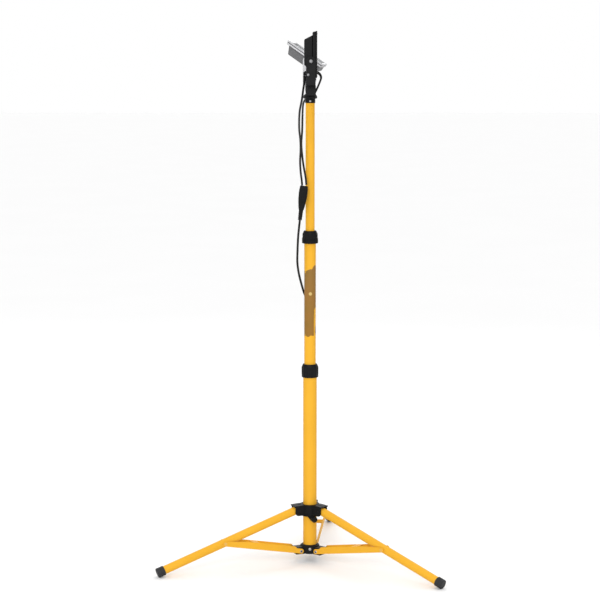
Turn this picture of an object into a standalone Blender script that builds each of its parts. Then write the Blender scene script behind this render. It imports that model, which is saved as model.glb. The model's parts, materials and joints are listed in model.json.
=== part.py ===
"""Twin LED work light on a telescopic mast with a folding tripod base.

Metres, +Z up. The origin is on the floor, at the middle of the box round the stand. +X is the way the lamps
face, and the crossbar runs along Y. Every piece is its own object, placed by the empty that it moves with.
"""

import math

import bmesh
import bpy
from mathutils import Matrix, Vector

GAP = 0.0003  # between pieces that touch
MAST_AXIS = (0.030, -0.052)  # from the origin

# Mast: three nested tubes (outer radius, inner radius, bottom, top).
LOWER_TUBE = (0.0190, 0.0175, 0.0263, 0.545)
MIDDLE_TUBE = (0.0160, 0.0146, 0.385, 0.912)
UPPER_TUBE = (0.0125, 0.0112, 0.800, 1.300)
LOWER_COLLAR = (0.0235, 0.527, 0.564)  # outer radius, bottom, top
UPPER_COLLAR = (0.0210, 0.901, 0.936)

# Tripod. Radii are from the mast axis, and each leg and its brace lie in one upright plane.
LEG_AZIMUTHS = (-38.0, 82.0, 202.0)
LEG_PIVOT = (0.040, 0.1505)
LEG_RADIUS = 0.0115
LEG_BORE = 0.0103
LEG_LENGTH = 0.423  # pivot to the middle of the foot cap
FOOT_RADIUS = 0.0135
FOOT_HALF = 0.0105
FOOT_FLAT_DEPTH = 0.001
BRACE_PIVOT = (0.032, 0.034)
BRACE_RIVET_ALONG_LEG = 0.229
BRACE_INNER_HALF = 0.0135
BRACE_OUTER_HALF = 0.0155
BRACE_TOP = 0.0125
BRACE_BOTTOM = -0.0065
BRACE_END_RADIUS = 0.0075
BRACE_SHOULDER = 0.014  # where the wall starts to rise to its full height, from the brace's inner pivot
BRACE_WEB = (0.128, 0.150)  # where the web that joins the walls starts and ends
PIN_RADIUS = 0.0029
PIN_HOLE_RADIUS = 0.0032
HUB_BORE = 0.0194
KNOB_AZIMUTH = -70.0
KNOB_HEIGHT = 0.1275

# Head.
CROSSBAR_HALF = 0.013
CROSSBAR_WALL = 0.0015
CROSSBAR_BOTTOM = 0.0130 + 1.300
CROSSBAR_TOP = CROSSBAR_BOTTOM + 2 * CROSSBAR_HALF
CROSSBAR_END = 0.300
LAMP_Y = {"right": -0.250, "left": 0.250}
LAMP_TILT = {"right": 0.0, "left": 55.0}  # degrees back from upright
LAMP_PAN = {"right": 0.0, "left": -5.0}  # degrees about +Z
LAMP_PIVOT_HEIGHT = 1.400
LOCK_BELOW_PIVOT = 0.034
BRACKET_HALF_WIDTH = 0.012
BRACKET_INNER = 0.0895
BRACKET_OUTER = 0.0925
HOUSING_HALF = 0.083
BEZEL_HALF = 0.086
BEZEL_BACK = 0.0048
BEZEL_FRONT = 0.016
GLAND_EXIT = (-0.0155, -0.0370)  # x and z in the lamp's own frame

# Leads and cord. Their routes are from the mast axis.
LEAD_RADIUS = 0.0028
CORD_RADIUS = 0.0030
SPLITTER_TOP = Vector((-0.0165, -0.036, 1.062))
SPLITTER_TILT = 7.0  # degrees, its lower end towards -X
SPLITTER_LENGTH = 0.094
HANK_BOX = ((-0.0150, 0.0250, 0.742), (0.0150, 0.0660, 0.925))
TIE_HEIGHT = (0.9020, 0.9100)
PLUG_TOP = (0.0090, 0.0455, 0.7290)
LEAD_RIGHT_ROUTE = (
    (-0.0155, -0.2500, 1.3626), (-0.0160, -0.2500, 1.3500), (-0.0190, -0.2460, 1.3300),
    (-0.0230, -0.2280, 1.3000), (-0.0285, -0.1900, 1.2700), (-0.0300, -0.1500, 1.2430),
    (-0.0297, -0.1120, 1.2160), (-0.0270, -0.0820, 1.1900), (-0.0262, -0.0600, 1.1600),
    (-0.0275, -0.0460, 1.1300), (-0.0260, -0.0390, 1.1000), (-0.0228, -0.0362, 1.0750),
    (-0.0219, -0.0360, 1.0632),
)
LEAD_LEFT_ROUTE = (
    (0.0220, 0.2481, 1.3656), (0.0288, 0.2475, 1.3609), (0.0326, 0.2460, 1.3512),
    (0.0280, 0.2420, 1.3370), (0.0215, 0.2380, 1.3220), (0.0130, 0.2290, 1.3060),
    (0.0000, 0.2100, 1.2980), (-0.0120, 0.1800, 1.2920), (-0.0185, 0.1450, 1.2800),
    (-0.0205, 0.1020, 1.2580), (-0.0212, 0.0640, 1.2320), (-0.0220, 0.0370, 1.2060),
    (-0.0240, 0.0130, 1.1750), (-0.0220, -0.0060, 1.1450), (-0.0180, -0.0220, 1.1150),
    (-0.0125, -0.0325, 1.0850), (-0.0105, -0.0358, 1.0645),
)
CORD_ROUTE = (
    (-0.0282, -0.0360, 0.9678), (-0.0300, -0.0360, 0.9520), (-0.0330, -0.0360, 0.9200),
    (-0.0345, -0.0330, 0.8850), (-0.0350, -0.0240, 0.8500), (-0.0305, -0.0080, 0.8150),
    (-0.0215, 0.0080, 0.7780), (-0.0165, 0.0165, 0.7610), (-0.0132, 0.0225, 0.7520),
    (-0.0112, 0.0268, 0.7475),
)


# ---- Materials ------------------------------------------------------------------------------------------

MATERIALS = {
    "yellow_paint": ((0.94, 0.52, 0.05), 0.35, 0.0),
    "black_plastic": ((0.02, 0.02, 0.022), 0.5, 0.0),
    "black_metal": ((0.022, 0.022, 0.024), 0.4, 0.3),
    "grey_metal": ((0.30, 0.30, 0.31), 0.4, 0.4),
    "silver_paint": ((0.62, 0.62, 0.63), 0.35, 0.5),
    "steel": ((0.75, 0.75, 0.76), 0.25, 1.0),
    "rubber": ((0.03, 0.03, 0.032), 0.8, 0.0),
    "lamp_glass": ((0.85, 0.88, 0.88), 0.08, 0.0),
    "led_board": ((0.85, 0.82, 0.60), 0.5, 0.0),
}


def material(name):
    """The named material, made on first use."""
    found = bpy.data.materials.get(name)
    if found:
        return found
    colour, roughness, metallic = MATERIALS[name]
    made = bpy.data.materials.new(name)
    made.use_nodes = True
    shader = made.node_tree.nodes["Principled BSDF"]
    shader.inputs["Base Color"].default_value = (*colour, 1)
    shader.inputs["Roughness"].default_value = roughness
    shader.inputs["Metallic"].default_value = metallic
    return made


# ---- Shapes ---------------------------------------------------------------------------------------------


def mesh_of(bm):
    """A mesh from a bmesh, with its faces turned outwards."""
    bmesh.ops.recalc_face_normals(bm, faces=bm.faces)
    mesh = bpy.data.meshes.new("shape")
    bm.to_mesh(mesh)
    bm.free()
    return mesh


def lathe(profile, segments=28, axis="Z"):
    """A closed profile of (radius, height) points turned about an axis. A radius of 0 is on the axis."""
    bm = bmesh.new()
    rings = []
    for radius, height in profile:
        if radius == 0:
            rings.append([bm.verts.new((0, 0, height))] * segments)
            continue
        turns = [2 * math.pi * k / segments for k in range(segments)]
        rings.append([bm.verts.new((radius * math.cos(a), radius * math.sin(a), height)) for a in turns])
    for here, there in zip(rings, rings[1:] + rings[:1]):
        for k in range(segments):
            n = (k + 1) % segments
            corners = dict.fromkeys((here[k], here[n], there[n], there[k]))
            if len(corners) > 2:
                bm.faces.new(list(corners))
    turn = {"Z": Matrix(), "X": Matrix.Rotation(math.pi / 2, 4, "Y"), "Y": Matrix.Rotation(-math.pi / 2, 4, "X")}
    bm.transform(turn[axis])
    return mesh_of(bm)


def tube(outer, inner, bottom, top, segments=28):
    return lathe([(outer, bottom), (outer, top), (inner, top), (inner, bottom)], segments)


def rod(radius, start, end, axis="Z", segments=16):
    return lathe([(0, start), (radius, start), (radius, end), (0, end)], segments, axis)


def prism(outline, low, high, axis="Y"):
    """An outline pulled along an axis. For Y it holds (x, z), for Z (x, y), and for X (y, z)."""
    place = {
        "Y": lambda a, b, c: (a, c, b),
        "Z": lambda a, b, c: (a, b, c),
        "X": lambda a, b, c: (c, a, b),
    }[axis]
    bm = bmesh.new()
    ends = [[bm.verts.new(place(a, b, c)) for a, b in outline] for c in (low, high)]
    for k in range(len(outline)):
        n = (k + 1) % len(outline)
        bm.faces.new((ends[0][k], ends[0][n], ends[1][n], ends[1][k]))
    bm.faces.new(ends[0])
    bm.faces.new(ends[1][::-1])
    return mesh_of(bm)


def block(low, high):
    (x0, y0, z0), (x1, y1, z1) = low, high
    return prism([(x0, z0), (x1, z0), (x1, z1), (x0, z1)], y0, y1)


def arc(centre, radius, start, end, steps=8):
    """Points round a centre, with the angles in degrees."""
    angles = [math.radians(start + (end - start) * k / steps) for k in range(steps + 1)]
    return [(centre[0] + radius * math.cos(a), centre[1] + radius * math.sin(a)) for a in angles]


def moved(mesh, offset=(0, 0, 0), turn_z=0.0):
    """The mesh turned about Z by some degrees, after it is shifted."""
    mesh.transform(Matrix.Rotation(math.radians(turn_z), 4, "Z") @ Matrix.Translation(offset))
    return mesh


def combined(mesh, others, operation):
    """The mesh joined with others, or cut by them."""
    base = bpy.data.objects.new("base", mesh)
    bpy.context.collection.objects.link(base)
    helpers = []
    for other in others:
        helper = bpy.data.objects.new("helper", other)
        bpy.context.collection.objects.link(helper)
        helpers.append(helper)
        cut = base.modifiers.new("Boolean", "BOOLEAN")
        cut.operation = operation
        cut.object = helper
    bpy.context.view_layer.update()
    result = bpy.data.meshes.new_from_object(base.evaluated_get(bpy.context.evaluated_depsgraph_get()))
    for used in (base, *helpers):
        bpy.data.objects.remove(used)
    return result


def joined(*meshes):
    return combined(meshes[0], meshes[1:], "UNION")


def cut(mesh, *tools):
    return combined(mesh, tools, "DIFFERENCE")


# ---- Placing --------------------------------------------------------------------------------------------


def empty(name, parent=None, at=(0, 0, 0), turn=(0, 0, 0)):
    """An empty that pieces hang from, often on a joint's axis. The turn is in degrees."""
    made = bpy.data.objects.new(name, None)
    bpy.context.collection.objects.link(made)
    made.parent = parent
    made.location = at
    made.rotation_euler = [math.radians(a) for a in turn]
    return made


def piece(name, mesh, material_name, parent, at=(0, 0, 0), turn=(0, 0, 0)):
    """One sub-part, with its own material."""
    made = bpy.data.objects.new(name, mesh)
    bpy.context.collection.objects.link(made)
    made.parent = parent
    made.location = at
    made.rotation_euler = [math.radians(a) for a in turn]
    mesh.materials.clear()
    mesh.materials.append(material(material_name))
    mesh.shade_smooth()
    mesh.set_sharp_from_angle(angle=math.radians(35))
    return made


def smooth_route(points, spacing):
    """Points about this far apart on a smooth curve through a route's own points."""
    knots = [Vector(p) for p in points]
    knots = [2 * knots[0] - knots[1], *knots, 2 * knots[-1] - knots[-2]]
    dense = []
    for a, b, c, d in zip(knots, knots[1:], knots[2:], knots[3:]):
        for k in range(12):
            t = k / 12
            dense.append(
                0.5 * (2 * b + (c - a) * t + (2 * a - 5 * b + 4 * c - d) * t**2
                       + (3 * b - 3 * c + d - a) * t**3)
            )
    dense.append(knots[-2])
    length = sum((q - p).length for p, q in zip(dense, dense[1:]))
    step = length / max(2, round(length / spacing))
    spaced, run = [dense[0]], 0.0
    for p, q in zip(dense, dense[1:]):
        part = (q - p).length
        while run + part >= step - 1e-9:
            p = p.lerp(q, min(1.0, (step - run) / part))
            spaced.append(p)
            part = (q - p).length
            run = 0.0
        run += part
    spaced[-1] = dense[-1]
    return spaced


def cord(name, route, radius, parent):
    """A round cord along a route, with flat ends."""
    points = smooth_route(route, 5.5 * radius)
    curve = bpy.data.curves.new(name, "CURVE")
    curve.dimensions = "3D"
    curve.bevel_depth = radius
    curve.bevel_resolution = 2
    curve.use_fill_caps = True
    line = curve.splines.new("POLY")
    line.points.add(len(points) - 1)
    for point, at in zip(line.points, points):
        point.co = (*at, 1)
    made = bpy.data.objects.new(name, curve)
    bpy.context.collection.objects.link(made)
    made.parent = parent
    curve.materials.append(material("rubber"))
    return made


# ---- Tripod geometry ------------------------------------------------------------------------------------


def leg_angle():
    """How far a leg stands out from upright when its cap rests on the floor, in radians."""
    along, across = LEG_LENGTH + FOOT_HALF, FOOT_RADIUS
    drop = LEG_PIVOT[1] + FOOT_FLAT_DEPTH
    return math.atan2(across, along) + math.acos(drop / math.hypot(along, across))


def brace_line():
    """A brace's length between pivots and its rise from level, in radians."""
    out, down = math.sin(leg_angle()), math.cos(leg_angle())
    rivet = (LEG_PIVOT[0] + BRACE_RIVET_ALONG_LEG * out, LEG_PIVOT[1] - BRACE_RIVET_ALONG_LEG * down)
    across, up = rivet[0] - BRACE_PIVOT[0], rivet[1] - BRACE_PIVOT[1]
    return math.hypot(across, up), math.atan2(up, across)


# ---- The stand ------------------------------------------------------------------------------------------


def mast(axis):
    """The three tubes, the lower tube's end plug, and the guide bushes at the tops of the outer two."""
    outer, inner, bottom, top = LOWER_TUBE
    piece("lower_tube", tube(*LOWER_TUBE), "yellow_paint", axis)
    spigot = inner - GAP
    plug = [(0, bottom - 0.0023), (outer, bottom - 0.0023), (outer, bottom - GAP),
            (spigot, bottom - GAP), (spigot, bottom + 0.018), (0, bottom + 0.018)]
    piece("mast_end_plug", lathe(plug), "black_plastic", axis)
    piece("middle_tube", tube(*MIDDLE_TUBE), "yellow_paint", axis)
    piece("upper_tube", tube(*UPPER_TUBE), "yellow_paint", axis)
    bushes = (("lower_collar_bush", LOWER_TUBE, MIDDLE_TUBE), ("upper_collar_bush", MIDDLE_TUBE, UPPER_TUBE))
    for name, outside, inside in bushes:
        bore, fit, rim, top = inside[0] + GAP, outside[1] - GAP, outside[0] - GAP, outside[3]
        bush = [(bore, top - 0.045), (fit, top - 0.045), (fit, top + GAP), (rim, top + GAP),
                (rim, top + 0.006), (bore, top + 0.006)]
        piece(name, lathe(bush), "black_plastic", axis)


def collar(name, sizes, outside, inside, axis):
    """A twist-lock nut that closes a bush on the tube that slides through it."""
    radius, bottom, top = sizes
    step = outside[3] + 0.006 + GAP
    profile = [(outside[0] + GAP, bottom), (radius - 0.001, bottom), (radius, bottom + 0.001),
               (radius, top - 0.006), (radius - 0.003, top), (inside[0] + GAP, top),
               (inside[0] + GAP, step), (outside[0] + GAP, step)]
    piece(name, lathe(profile, 32), "black_plastic", axis)


def lower_hub(axis):
    """The fixed hub at the mast's foot, with a lug inside each brace, its pins and its screw."""
    ring = lathe([(0.0193, 0.028), (0.027, 0.028), (0.027, 0.047), (0.022, 0.0505), (0.0193, 0.0505)])
    lug_outline = [(0.021, 0.025), (0.046, 0.025), (0.050, 0.029), (0.0505, 0.0415), (0.055, 0.0435),
                   (0.055, 0.0455), (0.021, 0.0455)]
    half = BRACE_INNER_HALF - 0.0007
    lugs = [moved(prism(lug_outline, -half, half), turn_z=a) for a in LEG_AZIMUTHS]
    holes = [moved(rod(PIN_HOLE_RADIUS, -0.02, 0.02, "Y"), (BRACE_PIVOT[0], 0, BRACE_PIVOT[1]), a)
             for a in LEG_AZIMUTHS]
    bore = rod(0.0193, 0.0, 0.1, segments=28)
    screw_hole = moved(rod(0.0026, 0.015, 0.03, "X"), (0, 0, 0.0405), -90)
    piece("lower_hub", cut(joined(ring, *lugs), bore, screw_hole, *holes), "black_plastic", axis)
    screw = lathe([(0, 0.0194), (0.0022, 0.0194), (0.0022, 0.0273), (0.0042, 0.0273), (0.0034, 0.0290),
                   (0, 0.0293)], 16, "X")
    piece("lower_hub_screw", screw, "steel", axis, (0, 0, 0.0405), (0, 0, -90))
    for number, azimuth in enumerate(LEG_AZIMUTHS, 1):
        side = empty(f"brace_pivot_{number}", axis, turn=(0, 0, azimuth))
        half = BRACE_OUTER_HALF + 0.0012
        pin = rod(PIN_RADIUS, -half, half, "Y")
        piece(f"brace_pin_{number}", pin, "steel", side, (BRACE_PIVOT[0], 0, BRACE_PIVOT[1]))


def upper_hub(axis):
    """The sliding hub: a sleeve, two cheeks and a roof for each leg, and the boss of its lock knob."""
    inner, outer = LEG_RADIUS + 0.0008, LEG_RADIUS + 0.0048
    px, pz = LEG_PIVOT
    roof = pz + LEG_RADIUS + GAP
    sleeve = lathe([(HUB_BORE, 0.1335), (0.0270, 0.1335), (0.0270, roof + 0.0035), (HUB_BORE, roof + 0.0035)])
    cheek_outline = [(0.021, 0.1365), (px, 0.1365), *arc((px, 0.1455), 0.009, -90, 0, 5), (px + 0.009, roof + 0.001),
                     (0.021, roof + 0.001)]
    roof_outline = [(0.021, roof), (px + 0.009, roof), (0.0505, 0.1610), (0.0525, 0.1618), (0.0515, 0.1645),
                    (0.030, roof + 0.0038), (0.021, roof + 0.0038)]
    parts = []
    for azimuth in LEG_AZIMUTHS:
        parts.append(moved(prism(roof_outline, -outer, outer), turn_z=azimuth))
        parts.append(moved(prism(cheek_outline, inner, outer), turn_z=azimuth))
        parts.append(moved(prism(cheek_outline, -outer, -inner), turn_z=azimuth))
    boss = rod(0.0080, 0.015, 0.0280, "X", 20)
    gusset = prism([(-0.022, 0.012), (-0.016, 0.0070), (-0.004, -0.0068), (0.004, -0.0068), (0.010, 0.012)],
                   0.0205, 0.0260, "X")
    parts += [moved(shape, (0, 0, KNOB_HEIGHT), KNOB_AZIMUTH) for shape in (boss, gusset)]
    holes = [moved(rod(PIN_HOLE_RADIUS, -0.02, 0.02, "Y"), (px, 0, pz), a) for a in LEG_AZIMUTHS]
    holes.append(moved(rod(0.0033, 0.010, 0.035, "X"), (0, 0, KNOB_HEIGHT), KNOB_AZIMUTH))
    holes.append(rod(HUB_BORE, 0.1, 0.2, segments=28))
    piece("upper_hub", cut(joined(sleeve, *parts), *holes), "black_plastic", axis)
    for number, azimuth in enumerate(LEG_AZIMUTHS, 1):
        side = empty(f"leg_pivot_{number}", axis, turn=(0, 0, azimuth))
        half = outer + 0.0010
        piece(f"leg_pin_{number}", rod(PIN_RADIUS, -half, half, "Y"), "steel", side, (px, 0, pz))
    knob = [(0, 0.0197), (0.0030, 0.0197), (0.0030, 0.0283), (0.0075, 0.0283), (0.0085, 0.0300),
            (0.0085, 0.0395), (0.0070, 0.0415), (0, 0.0415)]
    knob_axis = empty("hub_knob_axis", axis, (0, 0, KNOB_HEIGHT), (0, 0, KNOB_AZIMUTH))
    piece("hub_knob", lathe(knob, 20, "X"), "black_plastic", knob_axis)


def leg_tube_mesh():
    """A leg tube hanging from its pivot, its top end rounded about the pivot's axis."""
    segments = 24
    bm = bmesh.new()
    rings = []
    for radius, top in ((LEG_RADIUS, True), (LEG_RADIUS, False), (LEG_BORE, False), (LEG_BORE, True)):
        ring = []
        for k in range(segments):
            angle = 2 * math.pi * k / segments
            x, y = radius * math.cos(angle), radius * math.sin(angle)
            rise = math.sqrt(max(0.0, LEG_RADIUS**2 - x**2))
            ring.append(bm.verts.new((x, y, rise if top else -(LEG_LENGTH + 0.007))))
        rings.append(ring)
    for here, there in zip(rings, rings[1:] + rings[:1]):
        for k in range(segments):
            n = (k + 1) % segments
            bm.faces.new((here[k], here[n], there[n], there[k]))
    hole = rod(PIN_HOLE_RADIUS, -0.02, 0.02, "Y")
    return cut(mesh_of(bm), hole)


def foot_cap_mesh():
    """A cup over the leg's end, sliced flat where it stands on the floor."""
    low, high = -(LEG_LENGTH + FOOT_HALF), -(LEG_LENGTH - FOOT_HALF)
    floor = -(LEG_LENGTH + 0.007 + GAP)
    bore = LEG_RADIUS + GAP
    cup = lathe([(0, low), (FOOT_RADIUS, low), (FOOT_RADIUS, high), (bore, high), (bore, floor), (0, floor)], 24)
    bm = bmesh.new()
    bm.from_mesh(cup)
    angle = leg_angle()
    down = Vector((-math.sin(angle), 0, -math.cos(angle)))
    on_floor = down * LEG_PIVOT[1]
    whole = bm.verts[:] + bm.edges[:] + bm.faces[:]
    bmesh.ops.bisect_plane(bm, geom=whole, plane_co=on_floor, plane_no=down, clear_outer=True)
    bmesh.ops.holes_fill(bm, edges=[e for e in bm.edges if e.is_boundary])
    return mesh_of(bm)


def brace_mesh():
    """Two flat bars joined by a short web, with rounded ends, inner pivot holes and two rivet heads outside."""
    length = brace_line()[0]
    outline = [*arc((0, 0), BRACE_END_RADIUS, 90, 240), (0.012, BRACE_BOTTOM), (length - 0.006, BRACE_BOTTOM),
               *arc((length, 0), BRACE_END_RADIUS, -60, 80), (BRACE_WEB[1] + 0.012, BRACE_TOP),
               (BRACE_SHOULDER + 0.007, BRACE_TOP), (BRACE_SHOULDER, BRACE_END_RADIUS)]
    walls = [prism(outline, BRACE_INNER_HALF, BRACE_OUTER_HALF), prism(outline, -BRACE_OUTER_HALF, -BRACE_INNER_HALF)]
    web = block((BRACE_WEB[0], -BRACE_OUTER_HALF + 0.0004, BRACE_TOP - 0.002),
                (BRACE_WEB[1], BRACE_OUTER_HALF - 0.0004, BRACE_TOP))
    heads = []
    for side in (1, -1):
        start, end = side * (BRACE_OUTER_HALF - 0.0005), side * (BRACE_OUTER_HALF + 0.0015)
        heads.append(moved(rod(0.0048, min(start, end), max(start, end), "Y"), (length, 0, 0)))
    return cut(joined(web, *walls, *heads), rod(PIN_HOLE_RADIUS, -0.02, 0.02, "Y"))


def tripod(axis):
    """Three legs with their foot caps, and the three braces that join them to the lower hub."""
    out = math.degrees(leg_angle())
    rise = math.degrees(brace_line()[1])
    leg, cap, brace = leg_tube_mesh(), foot_cap_mesh(), brace_mesh()
    for number, azimuth in enumerate(LEG_AZIMUTHS, 1):
        side = empty(f"leg_plane_{number}", axis, turn=(0, 0, azimuth))
        hinge = empty(f"leg_hinge_{number}", side, (LEG_PIVOT[0], 0, LEG_PIVOT[1]), (0, -out, 0))
        piece(f"leg_tube_{number}", leg.copy(), "yellow_paint", hinge)
        piece(f"foot_cap_{number}", cap.copy(), "rubber", hinge)
        hinge = empty(f"brace_hinge_{number}", side, (BRACE_PIVOT[0], 0, BRACE_PIVOT[1]), (0, -rise, 0))
        piece(f"brace_{number}", brace.copy(), "yellow_paint", hinge)


# ---- The head -------------------------------------------------------------------------------------------


def mast_top(axis):
    """The cap on the upper tube, its set screw, and the crossbar with its end caps."""
    bore = UPPER_TUBE[0] + GAP
    top = CROSSBAR_BOTTOM - GAP
    socket = lathe([(bore, 1.2860), (0.0140, 1.2860), (0.0140, 1.2970), (0.0185, 1.2985), (0.0195, 1.3020),
                    (0.0175, 1.3070), (0.0130, 1.3110), (0.0125, top), (0, top), (0, 1.3050), (bore, 1.3050)])
    hole = moved(rod(0.0021, 0.010, 0.020, "X"), (0, 0, 1.2915), -90)
    piece("mast_socket", cut(socket, hole), "black_plastic", axis)
    screw = lathe([(0, 0.0129), (0.0018, 0.0129), (0.0018, 0.0143), (0.0032, 0.0143), (0.0026, 0.0157),
                   (0, 0.0160)], 16, "X")
    piece("socket_screw", screw, "steel", axis, (0, 0, 1.2915), (0, 0, -90))
    h, wall, end = CROSSBAR_HALF, CROSSBAR_WALL, CROSSBAR_END
    middle = CROSSBAR_BOTTOM + h
    outer = block((-h, -end, -h), (h, end, h))
    inner = block((-h + wall, -end - 0.01, -h + wall), (h - wall, end + 0.01, h - wall))
    holes = [moved(rod(0.0043, 0, 0.03), (0, y, 0)) for y in LAMP_Y.values()]
    piece("crossbar", cut(outer, inner, *holes), "black_metal", axis, (0, 0, middle))
    plug_half = h - wall - GAP
    for side, y in LAMP_Y.items():
        facing = math.copysign(1, y)
        lid = block((-h, GAP, -h), (h, 0.003, h))
        plug = block((-plug_half, -0.014, -plug_half), (plug_half, 0.001, plug_half))
        cap = joined(lid, plug)
        piece(f"crossbar_cap_{side}", cap, "black_plastic", axis, (0, facing * end, middle),
              (0, 0, 0 if facing > 0 else 180))


def bracket_mesh():
    """A U-bracket whose middle is at the foot of its bolt, with rounded tops at the tilt pivots."""
    rise = LAMP_PIVOT_HEIGHT - CROSSBAR_TOP
    w = BRACKET_HALF_WIDTH
    arm = [(-w, GAP), (w, GAP), (w, rise), *arc((0, rise), w, 15, 165, 8), (-w, rise)]
    arms = [prism(arm, BRACKET_INNER, BRACKET_OUTER), prism(arm, -BRACKET_OUTER, -BRACKET_INNER)]
    base = block((-w + 0.0002, -BRACKET_OUTER + 0.0005, GAP), (w - 0.0002, BRACKET_OUTER - 0.0005, 0.0033))
    pivot = moved(rod(0.0029, -0.1, 0.1, "Y"), (0, 0, rise))
    bolt = rod(0.0043, -0.01, 0.01)
    lock = moved(rod(0.0024, -0.1, -0.08, "Y"), (-0.007, 0, rise - LOCK_BELOW_PIVOT))
    return cut(joined(base, *arms), pivot, bolt, lock)


def housing_mesh():
    """The lamp's back shell: deep behind the LEDs, shallower below the pivot, open in front."""
    front = BEZEL_BACK - GAP
    side = [(front, -0.0395), (front, 0.066), (-0.017, 0.055), (-0.017, -0.009), (-0.012, -0.014),
            (-0.012, -0.0365), (-0.008, -0.0395)]
    shell = prism(side, -HOUSING_HALF, HOUSING_HALF)
    hollow = block((-0.009, -0.078, -0.035), (front + 0.01, 0.078, 0.052))
    pivots = rod(0.0029, -0.1, 0.1, "Y")
    wire = moved(rod(0.0030, -0.02, 0, "X", 12), (0, 0, -0.031))
    return cut(shell, hollow, pivots, wire)


def bezel_mesh():
    """The front frame, with a lip in front of the glass."""
    side = [(BEZEL_BACK, -0.0405), (BEZEL_BACK, 0.0735), (BEZEL_FRONT, 0.0770), (BEZEL_FRONT, -0.0405),
            (0.0140, -0.0425), (0.0075, -0.0425)]
    frame = prism(side, -BEZEL_HALF, BEZEL_HALF)
    seat = block((0, -0.0780, -0.0370), (0.0128, 0.0780, 0.0660))
    window = block((0, -0.0745, -0.0335), (0.02, 0.0745, 0.0625))
    return cut(frame, seat, window)


def lamp(side, head):
    """One lamp with its bracket, on an empty for its pan axis and one for its tilt axis."""
    pan = empty(f"lamp_pan_{side}", head, (0, LAMP_Y[side], CROSSBAR_TOP), (0, 0, LAMP_PAN[side]))
    finish = {"right": "black_metal", "left": "silver_paint"}[side]
    back = {"right": "black_metal", "left": "grey_metal"}[side]
    piece(f"bracket_{side}", bracket_mesh(), finish, pan)
    head_low = 0.0033 + GAP
    bolt = lathe([(0, -0.016), (0.004, -0.016), (0.004, head_low), (0.0078, head_low), (0.0070, head_low + 0.0030),
                  (0.0045, head_low + 0.0039), (0, head_low + 0.0039)], 20)
    piece(f"bracket_bolt_{side}", bolt, "steel", pan)
    rise = LAMP_PIVOT_HEIGHT - CROSSBAR_TOP
    lock = lathe([(0, 0.0882), (0.0021, 0.0882), (0.0021, BRACKET_OUTER + GAP), (0.0042, BRACKET_OUTER + GAP),
                  (0.0034, BRACKET_OUTER + 0.0026), (0, BRACKET_OUTER + 0.0029)], 16, "Y")
    piece(f"bracket_screw_{side}", lock, "steel", pan, (-0.007, 0, rise - LOCK_BELOW_PIVOT), (0, 0, 180))
    tilt = empty(f"lamp_tilt_{side}", pan, (0, 0, rise), (0, -LAMP_TILT[side], 0))
    piece(f"housing_{side}", housing_mesh(), back, tilt)
    piece(f"bezel_{side}", bezel_mesh(), finish, tilt)
    glass = block((0.0092, -0.0775, -0.0365), (0.0125, 0.0775, 0.0655))
    piece(f"glass_{side}", glass, "lamp_glass", tilt)
    board = block((-0.0087, -0.0700, -0.0310), (-0.0071, 0.0700, 0.0490))
    piece(f"led_board_{side}", board, "led_board", tilt)
    gx, gz = GLAND_EXIT
    outline = [(-0.0123, gz), (-0.0123, -0.0250), (-0.0150, -0.0250), (-0.0190, -0.0290), (-0.0190, gz)]
    piece(f"cable_gland_{side}", prism(outline, -0.006, 0.006), "rubber", tilt)
    pivot = [(0, 0.0800), (0.0026, 0.0800), (0.0026, BRACKET_OUTER + GAP), (0.0050, BRACKET_OUTER + GAP),
             (0.0042, BRACKET_OUTER + 0.0036), (0, BRACKET_OUTER + 0.0040)]
    for end, turn in (("inner", 0), ("outer", 180)):
        facing = turn if LAMP_Y[side] < 0 else 180 - turn
        piece(f"pivot_bolt_{side}_{end}", lathe(pivot, 16, "Y"), "steel", tilt, turn=(0, 0, facing))


# ---- Leads and cord -------------------------------------------------------------------------------------


def splitter(head):
    """The moulding where the two lamp leads meet the mains cord. It narrows to a strain relief."""
    length = SPLITTER_LENGTH
    outline = [(-0.0120, -0.001), (-0.0110, 0), (0.0110, 0), (0.0120, -0.001), (0.0112, -0.052),
               (0.0058, -0.064), (0.0048, -length), (-0.0048, -length), (-0.0058, -0.064), (-0.0112, -0.052)]
    piece("cord_splitter", prism(outline, -0.0062, 0.0062), "rubber", head, SPLITTER_TOP, (0, SPLITTER_TILT, 0))


def hank(axis):
    """The stored length of the cord, folded behind the mast, with its tie and its plug."""
    (x0, y0, z0), (x1, y1, z1) = HANK_BOX
    radius = (y1 - y0) / 2
    middle = (y0 + y1) / 2
    outline = [*arc((middle, z0 + radius), radius, 180, 360, 12), *arc((middle, z1 - radius), radius, 0, 180, 12)]
    piece("cord_hank", prism(outline, x0, x1, "X"), "rubber", axis)
    reach = UPPER_COLLAR[0] + 0.0005
    side, back, thick = x1 + GAP, y1 + GAP, 0.0009
    inside = [*arc((0, 0), reach, 173, 367, 16), (side, back), (-side, back)]
    outside = [*arc((0, 0), reach + thick, 173, 367, 16), (side + thick, back + thick),
               (-side - thick, back + thick)]
    low, high = TIE_HEIGHT
    strap = cut(prism(outside, low, high, "Z"), prism(inside, low - 0.01, high + 0.01, "Z"))
    piece("hank_tie", strap, "rubber", axis)


def plug(axis):
    """A flat two-pin mains plug, hanging below the hank on the end of its cord."""
    outline = [(-0.0175, -0.036), (0.0175, -0.036), (0.0175, -0.022), (0.0070, -0.004), (0.0045, 0),
               (-0.0045, 0), (-0.0070, -0.004), (-0.0175, -0.022)]
    body = prism(outline, -0.0068, 0.0068, "X")
    pins = [moved(rod(0.0020, -0.055, -0.030, segments=12), (0, y, 0)) for y in (-0.0093, 0.0093)]
    neck = rod(CORD_RADIUS, -0.002, HANK_BOX[0][2] - GAP - PLUG_TOP[2], segments=12)
    piece("mains_plug", joined(body, neck, *pins), "black_plastic", axis, PLUG_TOP)


def clear_scene():
    for found in list(bpy.data.objects):
        bpy.data.objects.remove(found)


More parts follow.
